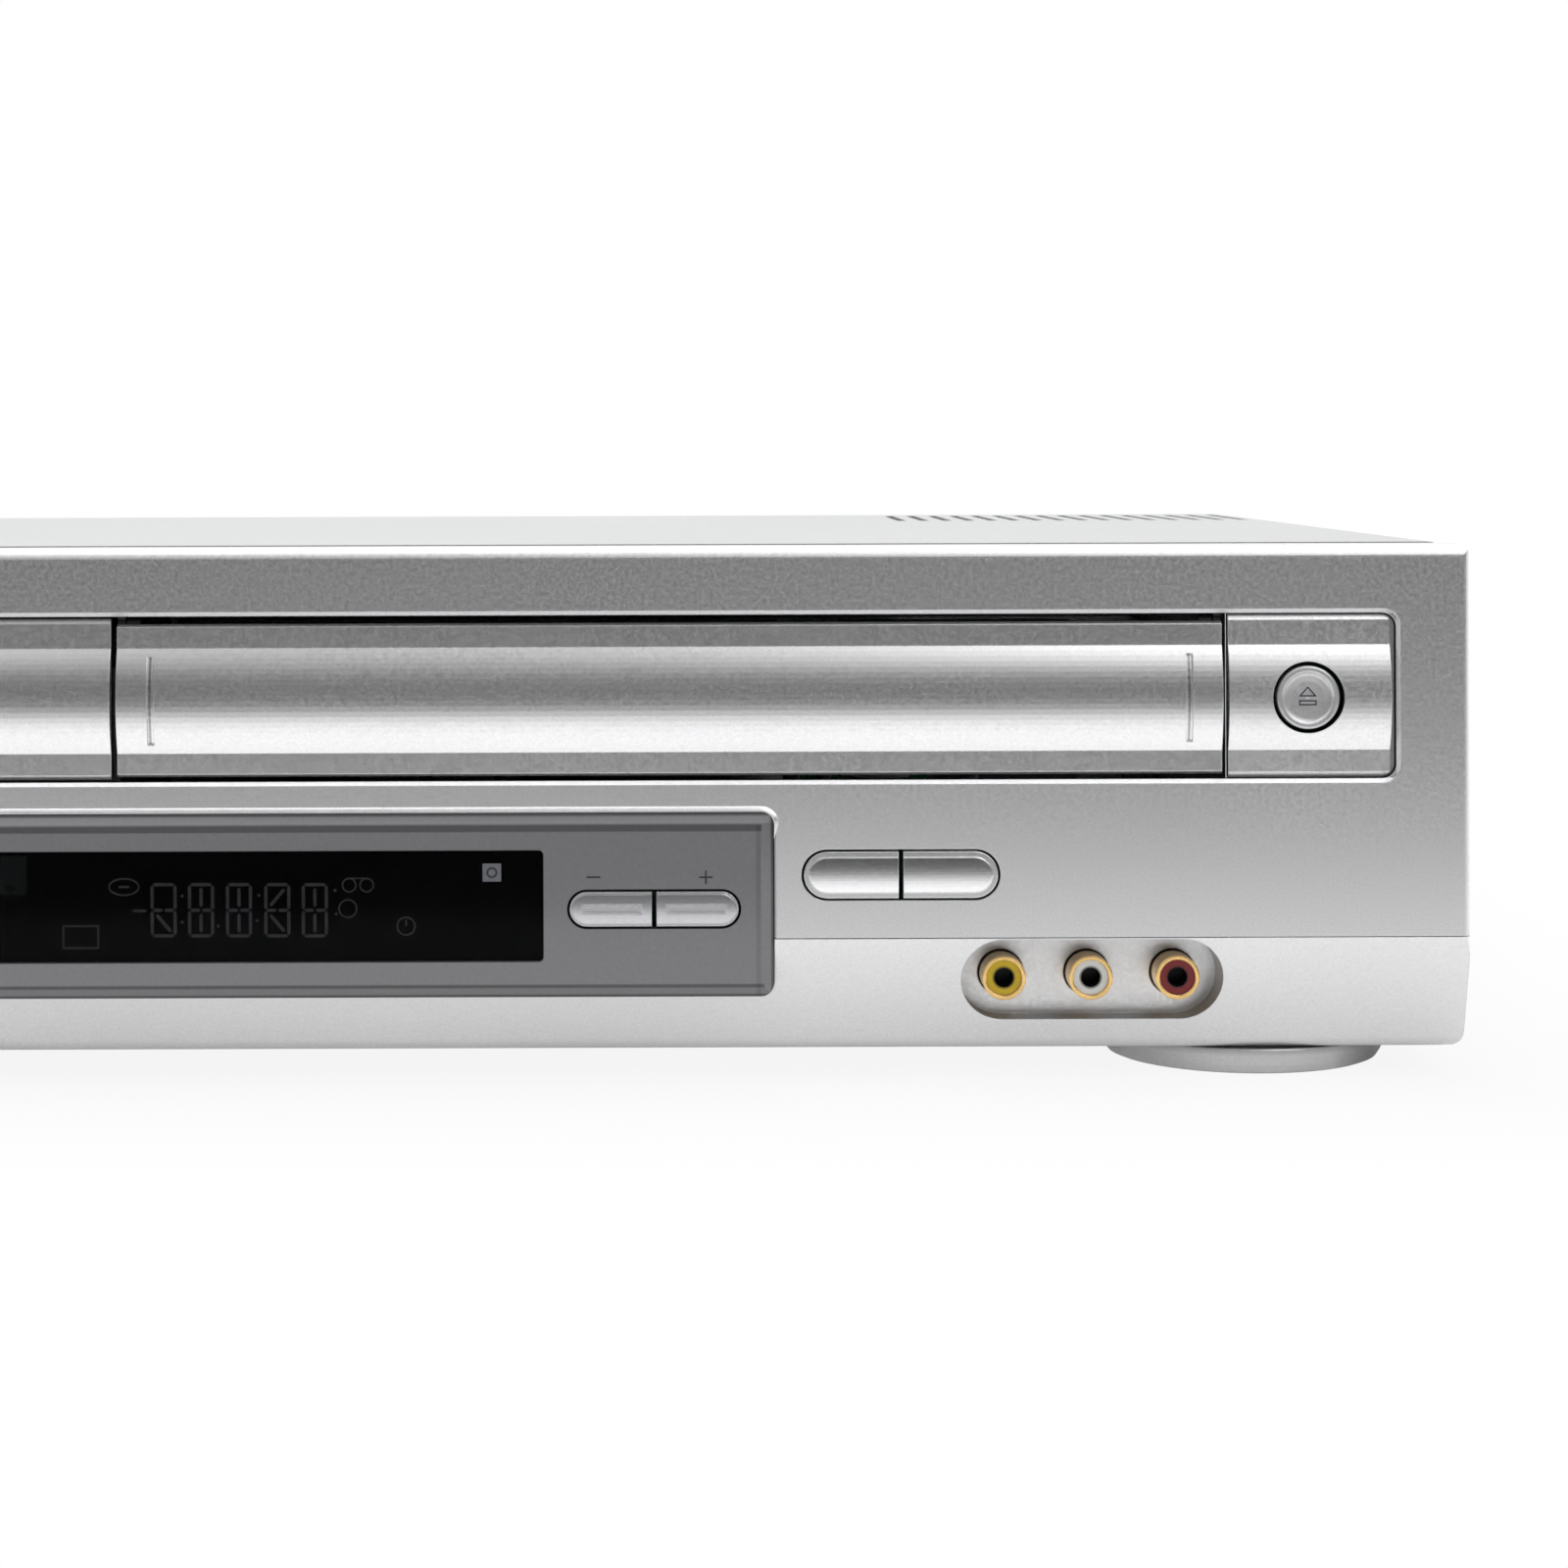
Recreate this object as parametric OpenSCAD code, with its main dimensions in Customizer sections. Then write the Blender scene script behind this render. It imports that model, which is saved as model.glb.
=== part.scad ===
// Disc and cassette player: a slim silver deck with a disc tray on the left and a cassette slot on the right.
// X runs to the right seen from the front, Y to the rear, Z up; the origin is under the middle of the case.

/* [Case] */
// Depth from the crest of the doors to the ends of the rear jacks
total_d = 270; // [268:1:290]
// Height of the panel's top above the table
total_h = 101; // [100.5:0.25:104]
// Height of the fascia's lower edge above the table
skirt_z = 5.5; // [5:0.25:6]
// Thickness of the moulded panels
panel_wall = 2.4; // [2:0.1:2.8]
// Depth of the front panel's top and side returns
panel_return = 8.3; // [7:0.1:9]
// Radius of the front panel's top lip
lip_r = 2.5; // [1:0.25:3]
// Radius of the front panel's upper corners
corner_r = 2.3; // [1:0.1:4]
// Height of the seam between the front panel and the lower fascia
seam_z = 27.5; // [27.2:0.1:29]
// How far the lower fascia slopes back
fascia_slope = 6.3; // [4:0.1:7]
// Thickness of the steel sheet
sheet = 0.8; // [0.6:0.1:1]
// How far the top cover lies in from the panel's sides
cover_inset = 2.4; // [1.9:0.1:2.5]
// Outer bend radius of the top cover
cover_r = 3.5; // [2:0.25:5]
// How far the rear jacks stand out of the rear panel
jack_proud = 8; // [7:0.25:9]

/* [Vents] */
// Number of vent slots in the cover
vent_count = 16; // [8:1:18]
// Distance between vent slots
vent_pitch = 5.6; // [5:0.1:6]
// Width of a vent slot
vent_w = 2.2; // [1.5:0.1:3]
// Length of a vent slot
vent_l = 55; // [30:1:60]

/* [Doors] */
// Height of the panel between the window and the bay
bay_gap = 5.9; // [5:0.1:7]
// Height of the bay
bay_h = 31; // [30:0.1:32]
// Width of the panel outside the bay
bay_margin = 13.8; // [12:0.1:15]
// Width of the fixed trims at the ends of the bay
trim_w = 31.4; // [31:0.1:32]
// Gap beside the doors
door_gap = 1.15; // [0.8:0.05:1.3]
// Gap under the doors
door_sill = 0.9; // [0.6:0.1:1.1]
// Gap above the doors
door_head = 1.5; // [1:0.1:2]
// Width of the tray's door
tray_door_w = 130.75; // [127:0.25:136]
// Width of the cassette door
cassette_door_w = 206.8; // [204:0.1:212]
// How far the doors' flat bands lie behind the panel
door_inset = 1; // [0.6:0.1:1.4]
// Height of a door's convex band
bulge_h = 19.7; // [17:0.1:21]
// How far the convex band bulges
bulge = 1.9; // [1:0.1:2.5]
// Thickness of a door at its flat bands
door_wall = 2.2; // [1.8:0.1:2.4]
// Radius of the cassette door's hinge pins
door_pin_r = 0.9; // [0.7:0.05:1]

/* [Window] */
// Width of the display window
lens_w = 170.6; // [150:0.2:180]
// Height of the window's lower edge
lens_z = 16.6; // [15:0.1:18]
// Height of the window
lens_h = 34.5; // [33:0.1:35]
// Thickness of the window
lens_t = 4; // [3.6:0.1:4.2]
// How far the window stands out of the panel
lens_proud = 0.4; // [0.2:0.1:0.8]
// Width of the window's bevel
lens_bevel = 2.4; // [1:0.1:3]

/* [Buttons] */
// How far a button travels
button_travel = 1; // [0.5:0.1:1]
// Gap around a pill-shaped button
button_gap = 0.45; // [0.3:0.05:0.6]
// Gap around a round button
round_gap = 0.7; // [0.4:0.05:0.9]
// Width of the select pair's hole
select_w = 37.2; // [32:0.2:38]
// Height of the select pair's hole
select_h = 9.6; // [8:0.1:10]
// Distance between the window and the select pair
select_gap = 5.2; // [4:0.1:8]
// Height of the select pair's centre
select_z = 39.3; // [38:0.1:41]
// Width of the channel rocker's hole
channel_w = 32.5; // [28:0.1:33]
// Height of the channel rocker's hole
channel_h = 7.4; // [6:0.1:8]
// Distance between the channel rocker and the window's end
channel_margin = 6.1; // [5:0.1:8]
// Height of the channel rocker's centre
channel_z = 33.1; // [31:0.1:35]
// Diameter of the holes for round buttons
round_hole_d = 13.3; // [12:0.1:14]
// Distance from the panel's side to the power button's middle
power_margin = 25.5; // [22:0.5:28]

/* [Jacks] */
// Outer radius of a phono jack's barrel
jack_r = 4.15; // [4.1:0.01:4.2]
// Radius of a jack's coloured insert
insert_r = 3.3; // [3.1:0.05:3.4]
// Radius of a jack's centre hole
jack_hole_r = 1.85; // [1.7:0.05:2]
// Distance between the front jacks
jack_pitch = 16.35; // [15.5:0.05:17]
// Place of the middle front jack along the panel
jack_x = 145.1; // [144:0.1:146]
// Width of the front jacks' recess
recess_w = 49.2; // [48:0.1:51]
// Height of the recess
recess_h = 15.8; // [14:0.1:15.9]
// Height of the fascia above the recess
recess_edge = 0.4; // [0.35:0.05:1]
// Depth of the recess behind the panel's face
recess_d = 12; // [11:0.1:12.4]

/* [Feet] */
// Radius of a front foot
foot_r = 28.25; // [25:0.25:30]
// Distance from the panel's side to a front foot's edge
foot_margin = 9.05; // [5:0.05:15]
// Place of the front feet behind the panel's face
foot_y = 35.5; // [34:0.5:50]
// Radius of a rear foot
rear_foot_r = 10; // [8:0.5:14]

/* [Disc loader] */
// How far the tray's door reaches past the tray at each side
tray_lap = 1.875; // [1.5:0.125:3]
// Travel of the disc tray
tray_travel = 126; // [120:1:130]
// Length of the tray that stays inside when it is out
tray_tail = 24; // [24:1:30]
// Thickness of the tray
tray_t = 5; // [4.6:0.1:5.2]
// Width of the tray's rim beside the disc's recess
tray_rim = 3; // [2:0.25:4]
// Module of the tray's rack and pinion
gear_m = 1; // [0.9:0.05:1]
// Teeth on the pinion
gear_teeth = 18; // [17:1:19]
// Lift of the traverse
traverse_lift = 8; // [7:0.25:8.2]
// Travel of the optical pickup
pickup_travel = 34; // [30:1:34]

/* [Cassette deck] */
// How far the cassette door reaches past the cassette at each side
cassette_lap = 9.4; // [9:0.1:12]
// Height of the space for the cassette
cassette_h = 25.8; // [25.5:0.1:26]
// Inward travel of the cassette holder
load_travel = 70; // [60:1:70]
// Drop of the cassette holder
drop_travel = 20; // [16:0.5:20]
// Height of the transport plate's top
deck_z = 31.5; // [31:0.1:32]
// Distance between the reel tables
reel_pitch = 92; // [90:0.5:94]
// Radius of the head drum
drum_r = 31; // [30:0.1:31]
// Lean of the head drum
drum_tilt = 6; // [4:0.25:7]

/* [Hidden] */
$fn = 48;
e = 0.01;
run_fit = 0.06;
part_gap = 0.3;
front_y = -total_d / 2 + bulge - door_inset;
rear_y = total_d / 2 - jack_proud;
seam_y = front_y + panel_return;
trim_x = (tray_door_w + cassette_door_w + 3 * door_gap) / 2;
bay_x = trim_x + trim_w;
panel_x = bay_x + bay_margin;
cover_x = panel_x - cover_inset;
floor_z = skirt_z + 0.8;
inner_x = cover_x - sheet - part_gap;
cover_top = total_h;
panel_top = total_h - 0.2;

bay_z = lens_z + lens_h + bay_gap;
bay_top = bay_z + bay_h;
door_z = bay_z + door_sill;
door_h = bay_h - door_sill - door_head;
door_top = door_z + door_h;
vhs_x1 = trim_x - door_gap;
vhs_x0 = vhs_x1 - cassette_door_w;
tray_x0 = -trim_x + door_gap;
tray_x1 = vhs_x0 - door_gap;
band_y = front_y + door_inset;
door_back = band_y + door_wall;
bulge_mid = door_z + door_h / 2;
bulge_r = (pow(bulge_h / 2, 2) + pow(bulge, 2)) / (2 * bulge);
bulge_a = asin(bulge_h / 2 / bulge_r);
chamfer = 0.5;
pin_y = front_y + 3.4;
pin_z = door_top - 0.1;
bay_r = 2.6;
rim = 0.75;
lug_r = 1.4;
lug_t = 1.4;

select_x = lens_w / 2 + select_gap + select_w / 2;
channel_x = lens_w / 2 - channel_margin - channel_w / 2;
power_x = panel_x - power_margin;
recess_z = seam_z - recess_edge - recess_h / 2;
foot_x = panel_x - foot_margin - foot_r;

board_y = front_y + 12.2;
board_t = 1.6;
switch_d = 3;
plunger_y = board_y - switch_d - button_travel - 0.1;
key_board_y = board_y - 1.7;

tray_z = bulge_mid;
tray_w = tray_door_w - 2 * tray_lap;
tray_l = tray_travel + tray_tail;
disc_r = tray_w / 2 - tray_rim;
disc_x = (tray_x0 + tray_x1) / 2;
disc_y = door_back + disc_r + 4.5;
loader_wall = 2;
loader_x = tray_w / 2 + part_gap + loader_wall + 0.2;
loader_y0 = front_y + 7;
loader_y1 = door_back + tray_l + 28.9;
loader_z = tray_z - 25.2;
loader_floor = 2.5;
loader_top = tray_z + 5.8;
leg_r = 3.5;
leg_x = loader_x - leg_r - 0.5;
leg_y = [loader_y0 + 13, loader_y1 - 8];
rack_x = tray_w / 2 - 13.5;
belt_span = 29;
gear_x = disc_x + rack_x - gear_m * gear_teeth / 2;
gear_y = front_y + 24.5;
gear_z = tray_z - tray_t - 3.8;
pulley_z = gear_z - 6;
pulley_r = 12;
motor_x = gear_x - belt_span;
motor_pulley_r = 4;
traverse_z = tray_z - traverse_lift - 9.2;
sled_x = 17.5;
sled_y0 = disc_y + 14;
sled_y1 = sled_y0 + pickup_travel + 30;
cam_ratio = 2;
cam_y = disc_y - 28.2;

deck_x = (vhs_x0 + vhs_x1) / 2;
deck_t = 1.5;
cassette_w = cassette_door_w - 2 * cassette_lap;
holder_x = cassette_w / 2 + 1.8;
holder_y = front_y + 34;
holder_l = 68;
slider_x = holder_x + part_gap;
guide_x = slider_x + 0.8 + part_gap;
rear_board_y = rear_y - 15;
deck_y0 = front_y + 36.1;
deck_y1 = rear_board_y - 3;
reel_y = front_y + 114.1;
drum_x = deck_x;
drum_y = deck_y1 - 35;
drum_z = deck_z + 4.5;
capstan_x = deck_x + 54;
capstan_y = drum_y - 30;
arm_x = deck_x + 70;
arm_y = drum_y - 16;
arm_l = 22.6;
arm_a = -98.9;

rear_jacks = [[20, 3, 2], [84, 3, 1]];
rear_pitch = 16;
rear_row_z = [32, 52];
aerial_z = [32, 48];
cord_x = -cover_x + 23;
cord_z = 30;
board_x0 = -inner_x + 5.9;
board_x1 = vhs_x0 + 7.45;
board_y0 = front_y + 50.1;
board_y1 = rear_y - 16;
board_z = 14;
tuner_w = 40;
tuner_x = board_x1 - tuner_w - 6;
aerial_x = tuner_x + tuner_w / 2;

vent_y = rear_y - 12 - vent_l;
side_screw_y = [front_y + 74.1, rear_y - 37];
side_screw_z = 17;
rear_screw_x = [-panel_x + 30, 0, panel_x - 30];
rear_screw_z = total_h - 7.1;

// Points of an arc of radius r about [cx, cy] from angle a0 to a1.
function arc(cx, cy, r, a0, a1, n) =
    [for (i = [0 : n]) [cx + r * cos(a0 + (a1 - a0) * i / n), cy + r * sin(a0 + (a1 - a0) * i / n)]];

// Points of a rectangle with rounded corners.
function rounded(x0, y0, x1, y1, r, n = 6) = concat(
    arc(x1 - r, y1 - r, r, 0, 90, n),
    arc(x0 + r, y1 - r, r, 90, 180, n),
    arc(x0 + r, y0 + r, r, 180, 270, n),
    arc(x1 - r, y0 + r, r, 270, 360, n));

// Points of a rectangle whose left or right end is a half round.
function half_pill(x0, x1, z, h, left) = left
    ? concat([[x1, z - h / 2], [x1, z + h / 2]], arc(x0 + h / 2, z, h / 2, 90, 270, 14))
    : concat([[x0, z + h / 2], [x0, z - h / 2]], arc(x1 - h / 2, z, h / 2, -90, 90, 14));

function pill(x0, x1, z, h) = rounded(x0, z - h / 2, x1, z + h / 2, h / 2 - e, 14);

// An outline in Y and Z drawn along X.
module along_x(x0, x1)
    translate([x0, 0, 0]) rotate([90, 0, 90]) linear_extrude(x1 - x0) children();

// An outline in X and Z drawn along Y.
module along_y(y0, y1)
    translate([0, y1, 0]) rotate([90, 0, 0]) linear_extrude(y1 - y0) children();

// An outline in X and Y drawn along Z.
module along_z(z0, z1)
    translate([0, 0, z0]) linear_extrude(z1 - z0) children();

module block(x0, x1, y0, y1, z0, z1)
    translate([x0, y0, z0]) cube([x1 - x0, y1 - y0, z1 - z0]);

module rod_x(x0, x1, y, z, r)
    translate([x0, y, z]) rotate([0, 90, 0]) cylinder(h = x1 - x0, r = r);

module rod_y(x, y0, y1, z, r)
    translate([x, y1, z]) rotate([90, 0, 0]) cylinder(h = y1 - y0, r = r);

module rod_z(x, y, z0, z1, r)
    translate([x, y, z0]) cylinder(h = z1 - z0, r = r);

module both_sides() {
    children();
    mirror([1, 0, 0]) children();
}

// ---- Case ----

module top_cover() color("gainsboro") difference() {
    along_y(seam_y + 0.5, rear_y + sheet) difference() {
        polygon(concat(
            [[cover_x, floor_z], [cover_x, cover_top - cover_r]],
            arc(cover_x - cover_r, cover_top - cover_r, cover_r, 0, 90, 8),
            arc(-cover_x + cover_r, cover_top - cover_r, cover_r, 90, 180, 8),
            [[-cover_x, floor_z]]));
        polygon(concat(
            [[cover_x - sheet, floor_z - 1], [cover_x - sheet, cover_top - cover_r]],
            arc(cover_x - cover_r, cover_top - cover_r, cover_r - sheet, 0, 90, 8),
            arc(-cover_x + cover_r, cover_top - cover_r, cover_r - sheet, 90, 180, 8),
            [[-cover_x + sheet, floor_z - 1]]));
    }
    for (i = [0 : vent_count - 1])
        along_z(cover_top - 2, cover_top + 1)
            polygon(rounded(vent_x(i) - vent_w / 2, vent_y, vent_x(i) + vent_w / 2,
                vent_y + vent_l, vent_w / 2 - e, 5));
    both_sides() for (y = side_screw_y) rod_x(cover_x - 3, cover_x + 1, y, side_screw_z, 1.9);
}
function vent_x(i) = cover_x - 7 - i * vent_pitch;

module base_chassis() color("silver") difference() {
    union() {
        block(-inner_x, inner_x, front_y + 13, rear_y - 1.4, floor_z, floor_z + sheet);
        both_sides() block(inner_x - sheet, inner_x, front_y + 13, rear_y - 1.4, floor_z, side_screw_z + 5);
    }
    both_sides() for (y = side_screw_y) rod_x(inner_x - 2, inner_x + 1, y, side_screw_z, 1.7);
    for (i = [0 : 8], y = [board_y0 + 64, board_y0 + 114])
        along_z(floor_z - 1, floor_z + 2) rear_vent_outline(i, y, 36);
}

// Outline of a rear or floor vent slot: number i from the left, l long from v.
module rear_vent_outline(i, v, l) {
    x = board_x0 + 36 + 12 * i;
    polygon(rounded(x - 1.5, v, x + 1.5, v + l, 1.4, 4));
}

module rear_panel() color("dimgray") difference() {
    along_y(rear_y - 1.2, rear_y)
        polygon(rounded(-inner_x, floor_z + 0.2, inner_x, cover_top - sheet - part_gap, 2.5, 4));
    rear_jack_places() rod_y(0, rear_y - 3, rear_y + 1, 0, jack_r + 1.2);
    for (z = aerial_z) rod_y(aerial_x, rear_y - 3, rear_y + 1, z, 5.1);
    rod_y(cord_x, rear_y - 3, rear_y + 1, cord_z, 6);
    for (x = rear_screw_x) rod_y(x, rear_y - 3, rear_y + 1, rear_screw_z, 1.7);
    for (i = [1 : 7]) along_y(rear_y - 3, rear_y + 1) rear_vent_outline(i, 37, 29);
}

// A sloping edge of width w around an opening in the panel's face.
module rim_cut(x0, z0, x1, z1, r, w) intersection() {
    along_x(x0 - 3, x1 + 3) polygon([[front_y - 1, z0 - w - 1], [front_y + w, z0], [front_y + w, z1],
        [front_y - 1, z1 + w + 1]]);
    along_z(z0 - 3, z1 + 3) polygon([[x0 - w - 1, front_y - 1], [x0, front_y + w], [x1, front_y + w],
        [x1 + w + 1, front_y - 1]]);
    along_y(front_y - 0.5, front_y + w) polygon(rounded(x0 - w, z0 - w, x1 + w, z1 + w, r + w));
}

module front_panel_blank(grow) intersection() {
    along_x(-panel_x + grow, panel_x - grow) polygon(concat(
        [[seam_y + grow, seam_z - 2 * grow], [front_y + grow, seam_z - 2 * grow]],
        arc(front_y + max(lip_r, grow + 0.5), panel_top - max(lip_r, grow + 0.5),
            max(lip_r, grow + 0.5) - grow, 180, 90, 8),
        [[seam_y + grow, panel_top - grow]]));
    along_y(front_y - 1, seam_y + 5)
        polygon(rounded(-panel_x + grow, -30, panel_x - grow, panel_top - grow, corner_r, 8));
    along_z(0, total_h + 1)
        polygon(rounded(-panel_x + grow, front_y + grow, panel_x - grow, seam_y + 30, 1.5, 6));
}

module front_panel() color("darkgray") {
    difference() {
        front_panel_blank(0);
        front_panel_blank(panel_wall);
        along_y(front_y - 1, seam_y)
            polygon(rounded(-bay_x, bay_z, bay_x, bay_top, bay_r));
        rim_cut(-bay_x, bay_z, bay_x, bay_top, bay_r, rim);
        along_y(front_y - 1, seam_y) polygon(lens_outline(-0.15));
        rim_cut(-lens_w / 2 - 0.15, lens_z - 0.15, lens_w / 2 + 0.15, lens_z + lens_h + 0.15, 2.55, rim / 2);
        both_sides() along_y(front_y - 1, seam_y)
            polygon(pill(select_x - select_w / 2, select_x + select_w / 2, select_z, select_h));
        rod_y(-power_x, front_y - 1, seam_y, select_z, round_hole_d / 2);
    }
    // Lugs that hold the cassette door's hinge pins
    for (x = [vhs_x0, vhs_x1 - lug_t]) difference() {
        along_x(x, x + lug_t) union() {
            translate([pin_y, pin_z]) circle(r = lug_r);
            polygon([
                [pin_y - 1, pin_z + 0.6], [pin_y + lug_r, pin_z], [pin_y + 4, bay_top + 3],
                [front_y + panel_wall - 0.2, bay_top + 3], [front_y + panel_wall - 0.2, bay_top + 0.4]]);
        }
        rod_x(x - 1, x + lug_t + 1, pin_y, pin_z, door_pin_r + run_fit);
    }
    // Posts that carry the control board
    both_sides() for (x = [panel_x - 9, 150])
        rod_y(x, front_y + panel_wall - 0.2, board_y, 35, 2.5);
}

// The lens opening, smaller by inset.
function lens_outline(inset) = rounded(-lens_w / 2 + inset, lens_z + inset, lens_w / 2 - inset,
    lens_z + lens_h - inset, 2.4, 6);

// Outline of the fascia's front, w inside its face, from the seam down and back.
fascia_d = 12.5;
function fascia_profile(w) = concat(
    [[front_y + w, seam_z - 0.15]],
    arc(front_y + fascia_slope + 3 + 0.2, skirt_z + 3, 3 - w, 197, 270, 6),
    [[front_y + fascia_d, skirt_z + w]]);

module lower_fascia() color("lightgray") difference() {
    union() {
        difference() {
            intersection() {
                along_x(-panel_x, panel_x)
                    polygon(concat(fascia_profile(0), [[front_y + fascia_d, seam_z - 0.15]]));
                along_y(front_y - 1, front_y + 14)
                    polygon(rounded(-panel_x, skirt_z, panel_x, seam_z + 30, 3, 6));
                along_z(0, seam_z + 1) polygon(rounded(-panel_x, front_y, panel_x, front_y + 40, 1.5, 6));
            }
            along_x(-panel_x + panel_wall, panel_x - panel_wall) polygon(concat(
                fascia_profile(panel_wall), [[front_y + 14, skirt_z + panel_wall], [front_y + 14, seam_z + 1],
                [front_y + panel_wall, seam_z + 1]]));
        }
        // Cup of the jack recess
        difference() {
            along_y(front_y + 1.6, front_y + recess_d + 1.2) polygon(recess_outline(-1.2));
            block(0, panel_x, front_y - 1, front_y + panel_wall + 0.4, seam_z - 0.15, total_h);
            along_x(0, panel_x) polygon(concat([[front_y - 5, seam_z]], fascia_profile(0.6),
                [[front_y + fascia_d, 0], [front_y - 5, 0]]));
        }
    }
    along_y(front_y - 1, front_y + recess_d) polygon(recess_outline(0));
    along_y(front_y - 1, front_y + 14) polygon(lens_outline(-0.15));
    for (i = [-1 : 1]) rod_y(jack_x + i * jack_pitch, front_y, front_y + 15, recess_z, jack_r + 0.25);
    // The cover's front edge passes outside
    both_sides() block(cover_x - sheet - part_gap, panel_x + 1, seam_y, front_y + 15, 0, seam_z + 1);
}

function recess_outline(inset) = pill(jack_x - recess_w / 2 + inset, jack_x + recess_w / 2 - inset,
    recess_z, recess_h - 2 * inset);

module display_window() color("slategray") difference() {
    intersection() {
        along_y(front_y - lens_proud, front_y - lens_proud + lens_t) polygon(lens_outline(0));
        along_x(-lens_w, lens_w) polygon(bevelled(lens_z, lens_z + lens_h, false));
        along_z(0, total_h) polygon(bevelled(-lens_w / 2, lens_w / 2, true));
    }
    along_y(front_y - lens_proud + 2, seam_y) polygon(mask_outline(-0.2));
    along_y(front_y - 2, seam_y)
        polygon(pill(channel_x - channel_w / 2, channel_x + channel_w / 2, channel_z, channel_h));
}

// A block from a0 to a1 whose front edges are bevelled; across is true for X, false for Z.
function bevelled(a0, a1, across) =
    let (f = front_y - lens_proud, b = f + lens_t + 1, c = 1)
    [for (p = [[b, a0], [f + c, a0], [f, a0 + lens_bevel], [f, a1 - lens_bevel], [f + c, a1], [b, a1]])
        across ? [p[1], p[0]] : p];

mask_x0 = -lens_w / 2 + 9.3;
mask_x1 = channel_x - channel_w / 2 - 4.4;
mask_z0 = lens_z + 6.7;
mask_z1 = lens_z + lens_h - 6.9;
mask_y = front_y - lens_proud + 2.1;
function mask_outline(inset) = rounded(mask_x0 + inset, mask_z0 + inset, mask_x1 - inset,
    mask_z1 - inset, 1.5, 5);

module display_mask() color("black") along_y(mask_y, mask_y + 0.8) polygon(mask_outline(0));

module display_tube() color("darkslategray") {
    block(mask_x0 + 10, mask_x1 - 8.3, mask_y + 1.1, board_y - 4, mask_z0 + 1.5, mask_z1 - 1.5);
    rod_y(mask_x1 - 6.3, board_y - 7, board_y - 4, (mask_z0 + mask_z1) / 2, 1.5);
}

// Outline in Y and Z of a door or trim between heights z0 and z1: two flat bands and a convex one, with the
// flat bands' outer edges at b0 and b1.
function door_outline(z0, z1, back, b0 = door_z + chamfer, b1 = door_top - chamfer) = concat(
    [[back, z0], [band_y + edge_d, z0], [band_y, b0], [band_y, bulge_mid - bulge_h / 2]],
    [for (i = [-9 : 9]) let (a = bulge_a * i / 10)
        [band_y - bulge + bulge_r - bulge_r * cos(a), bulge_mid + bulge_r * sin(a)]],
    [[band_y, bulge_mid + bulge_h / 2], [band_y, b1], [band_y + edge_d, z1], [back, z1]]);
edge_d = 0.6;

// A thin strip under the convex band's surface, for the doors' grooves.
function bulge_strip(depth, half) = concat(
    [for (i = [-6 : 6]) let (a = half * i / 6)
        [band_y - bulge + bulge_r - (bulge_r - depth) * cos(a), bulge_mid + (bulge_r - depth) * sin(a)]],
    [[band_y - 5, bulge_mid + bulge_r * sin(half)], [band_y - 5, bulge_mid - bulge_r * sin(half)]]);

module bay_trim() difference() {
    union() {
        intersection() {
            along_x(trim_x, bay_x - 0.15) polygon(door_outline(bay_z + 0.15, bay_top - 0.15, door_back,
                bay_z + 1.2, bay_top - 1.3));
            union() {
                along_y(front_y - 5, door_back + 1)
                    polygon(rounded(-bay_x + 1.1, bay_z + 0.1, bay_x - 1.1, bay_top - 0.1, bay_r - 0.9));
                along_y(band_y + edge_d, door_back + 1)
                    polygon(rounded(-bay_x + 0.15, bay_z + 0.15, bay_x - 0.15, bay_top - 0.15, bay_r - 0.15));
            }
        }
        for (p = [[trim_x + 6.5, bay_z + 3], [bay_x - 3.5, bay_top - 3]])
            rod_y(p[0], door_back - 0.2, key_board_y, p[1], 1.8);
    }
    rod_y(eject_x, front_y - 3, door_back + 1, bulge_mid, round_hole_d / 2);
}
eject_x = trim_x + 14.8;

module right_bay_trim() color("silver") bay_trim();
module left_bay_trim() color("silver") mirror([1, 0, 0]) bay_trim();

// ---- Electronics ----

module tact_switch(x, z, y = board_y) {
    block(x - 3, x + 3, y - 2, y, z - 3, z + 3);
    rod_y(x, y - switch_d, y - 1.9, z, 1.5);
}

module front_boards() color("seagreen") {
    block(-panel_x + 5, panel_x - 5, board_y, board_y + board_t, seam_z + 2.5, select_z + 6.7);
    block(-panel_x + 5, jack_x - recess_w / 2 - 8, board_y, board_y + board_t, skirt_z + 4.5, seam_z + 2.5);
    for (x = button_switch_x) tact_switch(x, select_z);
    for (x = [channel_x - 8, channel_x + 8]) tact_switch(x, channel_z);
    block(mask_x0 + 16, mask_x1 - 14.3, board_y - 4, board_y, mask_z0 + 3, mask_z1 - 3);
    both_sides() {
        block(trim_x + 4.5, bay_x - 1.5, key_board_y, key_board_y + board_t, bay_z + 1, bay_top - 1);
        tact_switch(eject_x, bulge_mid, key_board_y);
    }
    difference() {
        block(jack_x - recess_w / 2 - 6, jack_x + recess_w / 2 + 6, jack_board_y, jack_board_y + board_t,
            recess_z - 9, recess_z + 9.5);
        for (i = [-1 : 1]) rod_y(jack_x + i * jack_pitch, front_y, front_y + 18, recess_z, 1.5);
    }
}
jack_board_y = front_y + recess_d + 1.4;
button_switch_x = [-power_x, -select_x - 9, -select_x + 9, select_x - 9, select_x + 9];

module front_jack_places() for (i = [-1 : 1])
    translate([jack_x + i * jack_pitch, jack_front_y, recess_z]) children();
module rear_jack_places() for (g = rear_jacks, c = [0 : g[1] - 1], r = [0 : g[2] - 1])
    translate([g[0] + c * rear_pitch, 0, rear_row_z[r]]) children();
jack_front_y = front_y + 4.7;
barrel_l = jack_board_y - jack_front_y;
rear_barrel_l = jack_proud + 2;
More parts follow.
